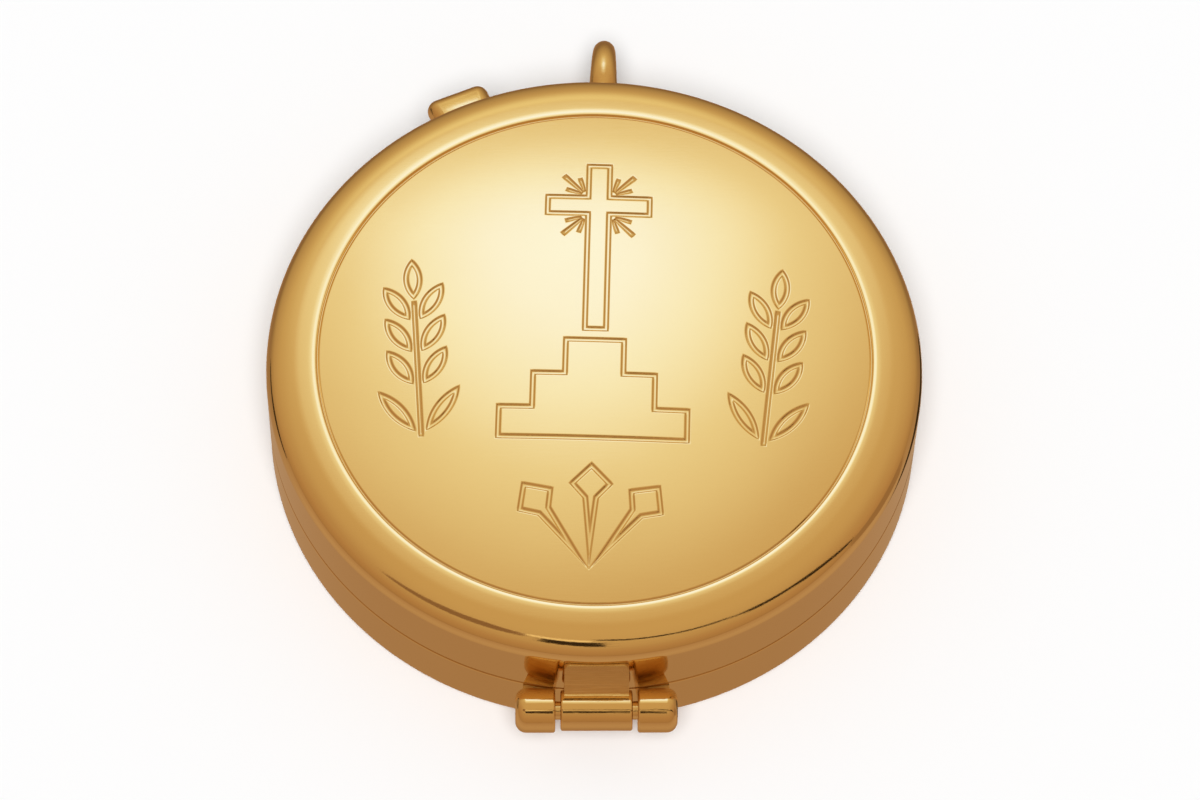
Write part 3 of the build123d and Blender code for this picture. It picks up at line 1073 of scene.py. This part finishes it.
    def build(self, lathe: Lathe, wardrobe: Wardrobe) -> Piece:
        """Turns the cover, lays the engraved panel in it and dresses both.

        Args:
            lathe: The tree that turns profiles.
            wardrobe: The finishes.

        Returns:
            The lid's shell.
        """
        mesh = lathe.turn("lid_cover", self.cover_profile(), self.segments, wardrobe.material(POLISHED))
        flat, faces, cut = self.ornament.panel(self.groove_in_r, self.segments)
        height = self.dome_z(np.linalg.norm(flat, axis=1)) - cut * self.ornament.depth
        work = opened(mesh)
        # This layer holds each point's painted shade.
        deep = work.verts.layers.float.new("recess")
        inner = work.verts.layers.float.new("inside")
        for vert in work.verts:
            radius, y, z = math.hypot(vert.co.x, vert.co.y) / MM, vert.co.y / MM, vert.co.z / MM
            vert[inner] = float(self.is_inside(radius, z))
            vert[deep] = self.painted_shade_at(radius, y, z)
        laid = [work.verts.new((x * MM, y * MM, z * MM)) for (x, y), z in zip(flat, height)]
        # Painted shade on the strokes' walls, and a little on their beds.
        for vert, share in zip(laid, cut):
            vert[deep] = self.groove_wall_painted_shade * share * (1.0 - share) + self.groove_bed_painted_shade * share
        for face in faces:
            work.faces.new([laid[i] for i in face])
        face_outwards(work, mesh, 20 * DOUBLES)
        return new_object("lid_cover", mesh)


@dataclass
class Base:
    """The base cup and the collar inside it that the lid closes over.

    The painted shades are shares of the deep tone, painted shade inside the cup and a painted shadow along
    the seam, and the satins say how far a part is brushed.
    """

    radius: float = 27.0
    wall: float = 0.8
    floor: float = 0.8
    height: float = 6.2
    foot_round: float = 1.2
    well_round: float = 0.8
    edge_break: float = 0.15
    floor_rings: tuple[float, ...] = (0.2, 0.4, 0.6, 0.8)
    collar_r: float = 26.18
    collar_t: float = 0.7
    collar_z: Point = (1.6, 8.1)
    collar_round: float = 0.25
    collar_break: float = 0.05
    seam: float = 0.1
    seam_painted_shadow: float = 1.5
    well_painted_shade: float = 0.2
    under_z: float = 0.05
    under_satin: float = 0.6
    segments: int = 360

    def cup(self, lathe: Lathe, wardrobe: Wardrobe) -> Piece:
        """Turns the base cup.

        Args:
            lathe: The tree that turns profiles.
            wardrobe: The finishes.

        Returns:
            The base's shell.
        """
        inner, brk, top = self.radius - self.wall, self.edge_break, self.height
        foot, well = self.foot_round, self.well_round
        rings = [self.radius * share for share in self.floor_rings]
        outline = Profile(0.0, 0.0)
        outline.points += [(ring, 0.0) for ring in rings]
        outline.line(self.radius - foot, 0.0)
        outline.arc((self.radius - foot, foot), foot, -90, 0, 14)
        outline.line(self.radius, top - brk)
        outline.arc((self.radius - brk, top - brk), brk, 0, 90, 5)
        outline.line(inner + brk, top)
        outline.arc((inner + brk, top - brk), brk, 90, 180, 5)
        outline.line(inner, self.floor + well)
        outline.arc((inner - well, self.floor + well), well, 0, -90, 10)
        outline.line(rings[-1], self.floor)
        outline.points += [(ring, self.floor) for ring in (*reversed(rings[:-1]), 0.0)]
        mesh = lathe.turn("base_cup", outline, self.segments, wardrobe.material(POLISHED))
        face_outwards(opened(mesh), mesh)
        spots = points_of(mesh)
        radius, z = np.linalg.norm(spots[:, :2], axis=1), spots[:, 2]
        within = (radius < inner + SURFACE_GAP) & (z > self.floor - self.seam)
        under = (z < self.under_z) & (radius < self.radius - foot)
        seam = (z > top - self.seam) & (radius > inner + self.seam)
        mark(mesh, "inside", within * 1.0 + under * self.under_satin)
        # Painted shade inside the cup, and a painted shadow along the seam at its top edge.
        mark(mesh, "recess", within * self.well_painted_shade + seam * self.seam_painted_shadow)
        return new_object("base_cup", mesh)

    def collar(self, lathe: Lathe, wardrobe: Wardrobe) -> Piece:
        """Turns the collar.

        Args:
            lathe: The tree that turns profiles.
            wardrobe: The finishes.

        Returns:
            The collar.
        """
        outer, inner = self.collar_r, self.collar_r - self.collar_t
        low, high = self.collar_z
        size, brk = self.collar_round, self.collar_break
        outline = Profile(inner, low + brk)
        outline.points.append((inner + brk, low))
        outline.line(outer - brk, low)
        outline.points.append((outer, low + brk))
        outline.line(outer, high - size)
        outline.arc((outer - size, high - size), size, 0, 90, 8)
        outline.line(inner + size, high)
        outline.arc((inner + size, high - size), size, 90, 180, 8)
        outline.line(inner, low + brk)
        mesh = lathe.turn("collar_ring", outline, self.segments, wardrobe.material(INNER))
        face_outwards(opened(mesh), mesh)
        radius = np.linalg.norm(points_of(mesh)[:, :2], axis=1)
        mark(mesh, "inside", radius < inner + SURFACE_GAP)
        return new_object("collar_ring", mesh)


@dataclass
class Fitting:
    """A small soldered or pinned piece: its node's own shape, with eased edges.

    Faces larger than the flat area, in square millimetres, are shaded flat. Where there are none, the
    shading is evened by the faces' sizes.
    """

    node: str
    name: str
    body: Body
    finish: GoldFinish
    ease: float = 0.06
    ease_angle: float = 35.0
    merge_angle: float = 0.6
    flat_area: float = math.inf

    def shape(self, work: bmesh.types.BMesh) -> None:
        """Changes the node's shape, which a plain fitting keeps."""

    def wear(self, mesh: Mesh) -> None:
        """Marks what is brushed or carries painted shade, which is nothing on a plain fitting."""

    def build(self, source: Piece, wardrobe: Wardrobe) -> Piece:
        """Copies the node's shape, merges it and eases its edges.

        Args:
            source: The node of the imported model.
            wardrobe: The finishes.

        Returns:
            The eased piece.
        """
        mesh = source.data.copy()
        mesh.name = self.name
        work = opened(mesh)
        bmesh.ops.remove_doubles(work, verts=work.verts, dist=2 * DOUBLES)
        limit = math.radians(self.merge_angle)
        bmesh.ops.dissolve_limit(work, angle_limit=limit, verts=work.verts, edges=work.edges)
        self.shape(work)
        for face in work.faces:
            face.smooth = face.calc_area() < self.flat_area * MM ** 2
        work.to_mesh(mesh)
        work.free()
        mesh.materials.clear()
        mesh.materials.append(wardrobe.material(self.finish))
        blank = new_object(self.name + "_blank", mesh)
        ease = blank.modifiers.new("ease", "BEVEL")
        ease.limit_method = "ANGLE"
        ease.angle_limit = math.radians(self.ease_angle)
        ease.width = self.ease * MM
        ease.segments = 2
        ease.harden_normals = False
        if math.isinf(self.flat_area):
            blank.modifiers.new("even", "WEIGHTED_NORMAL").keep_sharp = True
        ready = blank.evaluated_get(bpy.context.evaluated_depsgraph_get())
        finished = bpy.data.meshes.new_from_object(ready)
        finished.name = self.name
        bpy.data.objects.remove(blank)
        self.wear(finished)
        return new_object(self.name, finished)


@dataclass
class HingeFitting(Fitting):
    """A piece of the hinge: polished round the pin, brushed behind it and away from it.

    Behind and plate are the distances from the pin, in depth and in height, over which a brushed back and
    a plate begin.
    """

    polish_r: float = 1.86
    behind: Point = (0.5, 1.0)
    plate: Point = (2.0, 4.0)
    plate_polish: float = 0.5
    # Share of the deep tone painted on the plate as a painted dark reflection.
    plate_painted_dark_reflection: float = 0.6

    def satin(self, spots: np.ndarray, plate: np.ndarray) -> np.ndarray:
        """Returns how far each point is brushed.

        Args:
            spots: The piece's points, one row each.
            plate: How far each point belongs to the plate.

        Returns:
            A share for each point, 0 where it is polished.
        """
        away = np.hypot(spots[:, 1] - HINGE_AXIS[0], spots[:, 2] - HINGE_AXIS[1])
        behind = np.interp(spots[:, 1] - HINGE_AXIS[0], self.behind, (0.0, 1.0))
        return np.maximum(away > self.polish_r, behind) * (1.0 - self.plate_polish * plate)

    def wear(self, mesh: Mesh) -> None:
        """Marks the brushed parts, and a painted dark reflection on the plate.

        Args:
            mesh: The finished mesh.
        """
        spots = points_of(mesh)
        plate = np.interp(spots[:, 2] - HINGE_AXIS[1], self.plate, (0.0, 1.0))
        mark(mesh, "inside", self.satin(spots, plate))
        # Painted dark reflection on the plate, growing with height above the pin.
        mark(mesh, "recess", plate * self.plate_painted_dark_reflection)


@dataclass
class Strap(HingeFitting):
    """The lid's strap, whose broken lower edge becomes a narrow ledge that faces up.

    The edge in the solid and the ledge are two lines each, as Y and Z, the one nearer the wall first.
    """

    polish_r: float = 1.7
    edge: tuple[Point, Point] = ((-28.479, 8.881), (-28.615, 8.510))
    ledge: tuple[Point, Point] = ((-28.44, 8.715), (-28.64, 8.70))
    ledge_z: Point = (8.66, 8.75)
    ledge_y: float = -28.42

    def shape(self, work: bmesh.types.BMesh) -> None:
        """Moves the broken edge's two lines to the ledge's.

        Args:
            work: The node's shape.
        """
        for vert in work.verts:
            for old, new in zip(self.edge, self.ledge):
                if (vert.co.yz / MM - Vector(old)).length < SURFACE_GAP:
                    vert.co.yz = Vector(new) * MM

    def satin(self, spots: np.ndarray, plate: np.ndarray) -> np.ndarray:
        """Returns how far each point is brushed, with the ledge polished at its outer line.

        Args:
            spots: The piece's points, one row each.
            plate: How far each point belongs to the plate.

        Returns:
            A share for each point, 0 where it is polished.
        """
        y, z = spots[:, 1], spots[:, 2]
        on_ledge = (z > self.ledge_z[0]) & (z < self.ledge_z[1]) & (y < self.ledge_y)
        across = np.interp(y, (self.ledge[1][0], self.ledge[0][0]), (0.0, 1.0))
        return np.where(on_ledge, across, super().satin(spots, plate))


@dataclass
class ClaspTongue(Fitting):
    """The clasp's tongue, whose thumb bar swells into a pillow.

    The bar's turn is in degrees about the upright axis; its half length, near side, depth and the height
    over which the swell dies away are millimetres.
    """

    flat_area: float = 2.5
    turn: float = 23.2
    half: float = 2.73
    near: float = 27.45
    deep: float = 2.3
    soft: float = 1.0
    swell: float = 0.5
    rings: int = 5
    ring_step: float = 0.115
    satin: float = 0.1

    def shape(self, work: bmesh.types.BMesh) -> None:
        """Swells the thumb bar's flat top into a pillow that is highest along the lid's wall.

        Args:
            work: The node's shape.
        """
        top = max(work.faces, key=lambda face: face.calc_center_median().z * (face.normal.z > 0.99))
        high = top.calc_center_median().z
        for _ in range(self.rings):
            bmesh.ops.inset_region(work, faces=[top], thickness=self.ring_step * MM, depth=0.0)
        place = turned_by(-self.turn)
        for vert in work.verts:
            spot = place @ vert.co / MM
            across = min(1.0, abs(spot.x) / self.half)
            out = min(1.0, max(0.0, (spot.y - self.near) / self.deep))
            lift = max(0.0, 1.0 - (high - vert.co.z) / (self.soft * MM))
            vert.co.z += self.swell * MM * lift * (1 - across ** 2) * (1 - out ** 2)

    def wear(self, mesh: Mesh) -> None:
        """Marks the whole tongue as lightly brushed."""
        mark(mesh, "inside", self.satin)


@dataclass
class CordEye:
    """The eye for a cord: a ring that swells towards the wall."""

    turn: float = -2.0
    reach: float = 30.85
    level: float = 4.4
    ring_r: float = 3.15
    thick: float = 2.0
    width: float = 2.21
    swell: float = 0.17
    satin: float = 0.2
    steps: int = 96
    sides: int = 40

    def build(self, wardrobe: Wardrobe) -> Piece:
        """Sweeps the ring's oval section round its middle.

        Args:
            wardrobe: The finishes.

        Returns:
            The ring.
        """
        place = turned_by(self.turn)
        spots, faces = [], []
        for step in range(self.steps):
            around = math.tau * step / self.steps
            half = self.width / 2 - self.swell * math.cos(around)
            here, beyond = step * self.sides, (step + 1) % self.steps * self.sides
            for side in range(self.sides):
                angle = math.tau * side / self.sides
                out = self.ring_r + self.thick / 2 * math.cos(angle)
                y, z = self.reach + out * math.cos(around), self.level + out * math.sin(around)
                spots.append(place @ Vector((half * math.sin(angle), y, z)) * MM)
                beside = (side + 1) % self.sides
                faces.append((here + side, here + beside, beyond + beside, beyond + side))
        mesh = bpy.data.meshes.new("cord_eye")
        mesh.from_pydata(spots, [], faces)
        mesh.materials.append(wardrobe.material(CAST))
        face_outwards(opened(mesh), mesh)
        mark(mesh, "inside", self.satin)
        return new_object("cord_eye", mesh)


FITTINGS = (
    HingeFitting("hinge_knuckle_left", "left_knuckle", Body.BASE, CAST),
    HingeFitting("hinge_knuckle_right", "right_knuckle", Body.BASE, CAST),
    Fitting("hinge_pin", "hinge_wire", Body.BASE, PIN),
    Fitting("clasp_bracket", "clasp_ears", Body.BASE, CAST),
    Fitting("clasp_pin", "clasp_wire", Body.BASE, PIN),
    Strap("lid_hinge_leaf", "lid_leaf", Body.LID, CAST),
    Fitting("lid_catch", "lid_bead", Body.LID, CAST),
    ClaspTongue("clasp_tongue", "clasp_bar", Body.CLASP, CAST),
)


@dataclass(frozen=True)
class Card:
    """A bent card that hangs in the tent and shows in the polish.

    Its path is the azimuth, lowest and highest elevation at each of its corners in turn, in degrees. It hangs
    at a share of the tent's radius.
    """

    name: str
    path: tuple[Angles, ...]
    glow: Colour
    share: float = 0.97


BLACK = (0.04, 0.025, 0.012)
LEFT_SHADE = ((203, 57, 64), (221, 52, 65), (233, 48, 60), (246, 45, 50))
STAND_ARM = ((132, 47, 51), (137, 53.5, 57), (156, 60.5, 64), (178, 65.5, 68.5))
RIGHT_STAND = ((106, 14, 20), (109, 16, 36), (114, 30, 43), (120, 41, 47), (132, 46, 53))
RIGHT_SHADE = ((84, -26, 2), (94, -22, 8), (108, -8, 14))
RIGHT_EDGE = ((47, -46, -42), (54, -56, -28), (70, -56, -26), (76, -44, -38))
CARDS = (
    Card("camera_body", ((176, 48.5, 59.5), (197, 51.5, 60.5)), BLACK),
    Card("bright_strip", ((180, 60.5, 65.0), (204, 61.0, 65.0)), (0.92, 0.72, 0.40)),
    Card("left_shade", LEFT_SHADE, (0.27, 0.15, 0.07), 0.985),
    Card("stand_arm", STAND_ARM, BLACK),
    Card("right_stand", RIGHT_STAND, BLACK),
    Card("right_shade", RIGHT_SHADE, (0.33, 0.19, 0.09), 0.985),
    Card("left_edge", ((276, -9, -4), (286, -12, -1), (297, -9, -4)), BLACK),
    Card("right_edge", RIGHT_EDGE, BLACK),
)
# Each ramp names its two end stops first and then the stops between them.
BACK_CLOTH: tuple[Stop, ...] = (
    (0.0, (0.48, 0.29, 0.155)), (1.0, (0.62, 0.44, 0.21)), (0.07, (0.47, 0.29, 0.155)),
    (0.18, (0.31, 0.18, 0.09)), (0.32, (0.25, 0.145, 0.07)), (0.43, (0.29, 0.185, 0.09)),
    (0.50, (0.39, 0.27, 0.13)), (0.64, (0.52, 0.37, 0.18)), (0.78, (0.64, 0.48, 0.235)),
    (0.90, (0.67, 0.51, 0.26)),
)
FRONT_CLOTH: tuple[Stop, ...] = (
    (0.0, (0.42, 0.25, 0.125)), (1.0, (0.62, 0.44, 0.21)), (0.05, (0.405, 0.245, 0.13)),
    (0.13, (0.50, 0.32, 0.17)), (0.25, (0.52, 0.34, 0.19)), (0.40, (0.48, 0.30, 0.16)),
    (0.475, (0.45, 0.275, 0.145)), (0.49, (0.33, 0.18, 0.08)), (0.505, (0.42, 0.245, 0.11)),
    (0.70, (0.48, 0.285, 0.13)), (0.82, (0.51, 0.325, 0.15)), (0.93, (0.58, 0.40, 0.19)),
)
WINDOW: tuple[Stop, ...] = (
    (0.0, (1.08, 1.34, 1.85)), (0.88, (0.67, 0.51, 0.26)), (0.16, (1.07, 1.28, 1.68)),
    (0.31, (1.03, 1.17, 1.25)), (0.40, (0.98, 1.03, 0.93)), (0.48, (0.90, 0.87, 0.64)),
    (0.58, (0.83, 0.75, 0.50)), (0.72, (0.74, 0.60, 0.35)),
)
HALO_GLOW = (0.13, 0.175, 0.135, 1.0)


@dataclass
class Studio:
    """Pale floor, soft light, a warm light tent that only the polish mirrors, and the camera.

    The camera's distance and the height that it looks at are millimetres; the tent and the floor are metres.
    """

    lens_mm: float = 159.0
    focus_px: float = 5300.0
    frame_px: Point = (1200.0, 800.0)
    middle_px: Point = (594.7, 354.4)
    distance: float = 434.7
    elevation: float = 61.65
    look_z: float = 13.35
    roll: float = 1.59
    turn: float = -1.84
    tent_r: float = 0.62
    card_steps: int = 8
    floor_half: float = 3.0
    sky: float = 0.3
    sun: float = 2.65
    sun_angle: float = 25.0

    def camera(self) -> None:
        """Sets the camera where the photograph was taken from."""
        rise, roll = math.radians(self.elevation), math.radians(self.roll)
        out = Vector((0.0, -math.cos(rise), math.sin(rise)))
        eye = (Vector((0.0, 0.0, self.look_z)) + out * self.distance) * MM
        right = Vector((1.0, 0.0, 0.0))
        up = right.cross(-out)
        right, up = right * math.cos(roll) + up * math.sin(roll), up * math.cos(roll) - right * math.sin(roll)
        across = (self.middle_px[0] - self.frame_px[0] / 2) / self.focus_px
        down = (self.middle_px[1] - self.frame_px[1] / 2) / self.focus_px
        aim = (-out - right * across + up * down).normalized()
        right = (right - aim * right.dot(aim)).normalized()
        up = right.cross(aim)
        place = Matrix((right, up, -aim)).transposed().to_4x4()
        place.translation = eye
        data = bpy.data.cameras.new("camera")
        data.lens = self.lens_mm
        data.sensor_width = 36.0
        data.clip_start = 0.01
        camera = new_object("camera", data)
        camera.matrix_world = turned_by(self.turn) @ place
        bpy.context.scene.camera = camera

    def floor(self) -> None:
        """Lays the pale floor, which takes the shadow."""
        mesh = bpy.data.meshes.new("floor")
        corners = ((-1, -1), (1, -1), (1, 1), (-1, 1))
        spots = [(x * self.floor_half, y * self.floor_half, 0) for x, y in corners]
        mesh.from_pydata(spots, [], [(0, 1, 2, 3)])
        floor = new_object("floor", mesh)
        material = bpy.data.materials.new("pale_floor")
        material.use_nodes = True
        shader = material.node_tree.nodes["Principled BSDF"]
        shader.inputs["Base Color"].default_value = (0.95, 0.95, 0.95, 1.0)
        shader.inputs["Roughness"].default_value = 0.9
        shader.inputs["Specular IOR Level"].default_value = 0.0
        mesh.materials.append(material)
        floor.visible_glossy = False

    @staticmethod
    def direction(azimuth: float, elevation: float) -> Vector:
        """Returns the way to a spot on the tent, azimuth 0 at the back and 90 to the right."""
        around, rise = math.radians(azimuth), math.radians(elevation)
        return Vector((math.cos(rise) * math.sin(around), math.cos(rise) * math.cos(around), math.sin(rise)))

    @staticmethod
    def hide_from_all_but_gloss(obj: Piece) -> None:
        """Lets an object show in mirrors only.

        Args:
            obj: The object.
        """
        for ray in ("camera", "diffuse", "transmission", "volume_scatter", "shadow"):
            setattr(obj, "visible_" + ray, False)

    @staticmethod
    def glowing(name: str) -> tuple[Material, bpy.types.Node]:
        """Starts a material that only glows.

        Args:
            name: The material's name.

        Returns:
            The material and its Emission node.
        """
        material = bpy.data.materials.new(name)
        material.use_nodes = True
        tree = material.node_tree
        tree.nodes.clear()
        glow = tree.nodes.new("ShaderNodeEmission")
        add_node(tree, "ShaderNodeOutputMaterial", {"Surface": glow.outputs[0]})
        return material, glow

    def tent(self) -> None:
        """Hangs the warm tent with its lit window, which the polish mirrors."""
        work = bmesh.new()
        bmesh.ops.create_uvsphere(work, u_segments=64, v_segments=32, radius=self.tent_r)
        bmesh.ops.reverse_faces(work, faces=work.faces)
        for face in work.faces:
            face.smooth = True
        mesh = bpy.data.meshes.new("light_tent")
        work.to_mesh(mesh)
        work.free()
        mesh.materials.append(self.tent_cloth())
        self.hide_from_all_but_gloss(new_object("light_tent", mesh))

    def tent_cloth(self) -> Material:
        """Builds the tent's glow: warm cloth that dims downwards, and a soft white window.

        Returns:
            The glowing material.
        """
        material, glow = self.glowing("tent_cloth")
        tree = material.node_tree
        spot = tree.nodes.new("ShaderNodeTexCoord").outputs["Object"]
        unit = add_node(tree, "ShaderNodeVectorMath", {0: spot}, operation="NORMALIZE").outputs[0]

        def along(way: Vector) -> Socket:
            """Returns how far the direction points a given way."""
            node = add_node(tree, "ShaderNodeVectorMath", {0: unit, 1: way}, operation="DOT_PRODUCT")
            return node.outputs["Value"]

        def ramp(value: Socket, stops: tuple[Stop, ...]) -> Socket:
            """Colours a value between 0 and 1 by stops, at half their brightness.

            Args:
                value: The value.
                stops: Places and colours, the two end stops first.

            Returns:
                The colour.
            """
            node = add_node(tree, "ShaderNodeValToRGB", {0: value})
            elements = node.color_ramp.elements
            for index, (place, colour) in enumerate(stops):
                element = elements[index] if index < 2 else elements.new(place)
                element.position = place
                element.color = (*(part / 2 for part in colour), 1.0)
            return node.outputs[0]

        def ellipse(azimuth: float, rise: float, sizes: Angles) -> Socket:
            """Measures the distance from a spot on the tent.

            Args:
                azimuth: The spot's azimuth.
                rise: The spot's elevation.
                sizes: The angles to the side, up and down where the distance is 1.

            Returns:
                The distance.
            """
            wide, high, low = (math.sin(math.radians(angle)) for angle in sizes)
            upward = along(self.direction(azimuth, rise + 90))
            above = math_node(tree, "DIVIDE", upward, high)
            tall = math_node(tree, "MAXIMUM", above, math_node(tree, "DIVIDE", upward, -low))
            broad = math_node(tree, "DIVIDE", along(self.direction(azimuth + 90, 0)), wide)
            square = math_node(tree, "MULTIPLY_ADD", broad, broad, math_node(tree, "MULTIPLY", tall, tall))
            behind = math_node(tree, "LESS_THAN", along(self.direction(azimuth, rise)), 0.0)
            return math_node(tree, "MULTIPLY_ADD", behind, 9.0, math_node(tree, "SQRT", square))

        height = math_node(tree, "MULTIPLY_ADD", along(Vector((0, 0, 1))), 0.5, 0.5)
        to_back = smooth_step(tree, along(self.direction(0, 0)), -0.15, 0.8)
        cloth = mix_colours(tree, to_back, ramp(height, FRONT_CLOTH), ramp(height, BACK_CLOTH))
        away = ellipse(-4.0, 47.0, (18.0, 14.0, 12.0))
        fading = math_node(tree, "MULTIPLY", math_node(tree, "MULTIPLY", away, away), -1.0)
        lit = mix_colours(tree, math_node(tree, "EXPONENT", fading), cloth, HALO_GLOW, "ADD")
        reach = ellipse(-1.0, 55.0, (12.3, 15.8, 6.7))
        window = ramp(math_node(tree, "MULTIPLY", reach, 0.5), WINDOW)
        shown = mix_colours(tree, smooth_step(tree, reach, 1.15, 1.75), window, lit)
        glow.inputs["Strength"].default_value = 2.0
        tree.links.new(shown, glow.inputs["Color"])
        return material

    def hang(self, card: Card) -> None:
        """Hangs a card in the tent.

        Args:
            card: The card.
        """
        spots = []
        for start, stop in zip(card.path, card.path[1:]):
            for step in range(self.card_steps + (stop == card.path[-1])):
                around, low, high = (a + (b - a) * step / self.card_steps for a, b in zip(start, stop))
                spots += [self.direction(around, angle) * self.tent_r * card.share for angle in (low, high)]
        faces = [(first, first + 2, first + 3, first + 1) for first in range(0, len(spots) - 2, 2)]
        mesh = bpy.data.meshes.new(card.name)
        mesh.from_pydata(spots, [], faces)
        material, shine = self.glowing(card.name)
        shine.inputs["Color"].default_value = (*card.glow, 1.0)
        mesh.materials.append(material)
        self.hide_from_all_but_gloss(new_object(card.name, mesh))

    def light(self) -> None:
        """Lights the floor from the camera's side and all round, so that the shadow stays small."""
        world = bpy.data.worlds.new("studio")
        world.use_nodes = True
        back = world.node_tree.nodes["Background"]
        back.inputs["Color"].default_value = (1.0, 1.0, 1.0, 1.0)
        back.inputs["Strength"].default_value = self.sky
        bpy.context.scene.world = world
        lamp = bpy.data.lights.new("overhead", "SUN")
        lamp.energy = self.sun
        lamp.angle = math.radians(self.sun_angle)
        sun = new_object("overhead", lamp)
        sun.rotation_euler = (math.radians(90 - self.elevation), 0.0, math.radians(self.turn))
        sun.visible_glossy = False

    def build(self) -> None:
        """Sets up the whole studio."""
        bpy.context.scene.view_settings.view_transform = "Standard"
        self.camera()
        self.floor()
        self.light()
        self.tent()
        for card in CARDS:
            self.hang(card)


def main() -> None:
    """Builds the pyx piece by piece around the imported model."""
    logging.basicConfig(level=logging.INFO, format="%(message)s")
    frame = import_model()
    wardrobe, lathe = Wardrobe(), Lathe()
    Studio().build()
    base = Base()
    place_piece(base.cup(lathe, wardrobe), "base_shell", Body.BASE)
    place_piece(base.collar(lathe, wardrobe), "base_collar", Body.BASE)
    place_piece(Lid().build(lathe, wardrobe), "lid_shell", Body.LID)
    place_piece(CordEye().build(wardrobe), "suspension_eye", Body.BASE)
    for fitting in FITTINGS:
        piece = fitting.build(frame["nodes"][fitting.node], wardrobe)
        place_piece(piece, fitting.node, fitting.body)


if __name__ == "__main__":
    main()
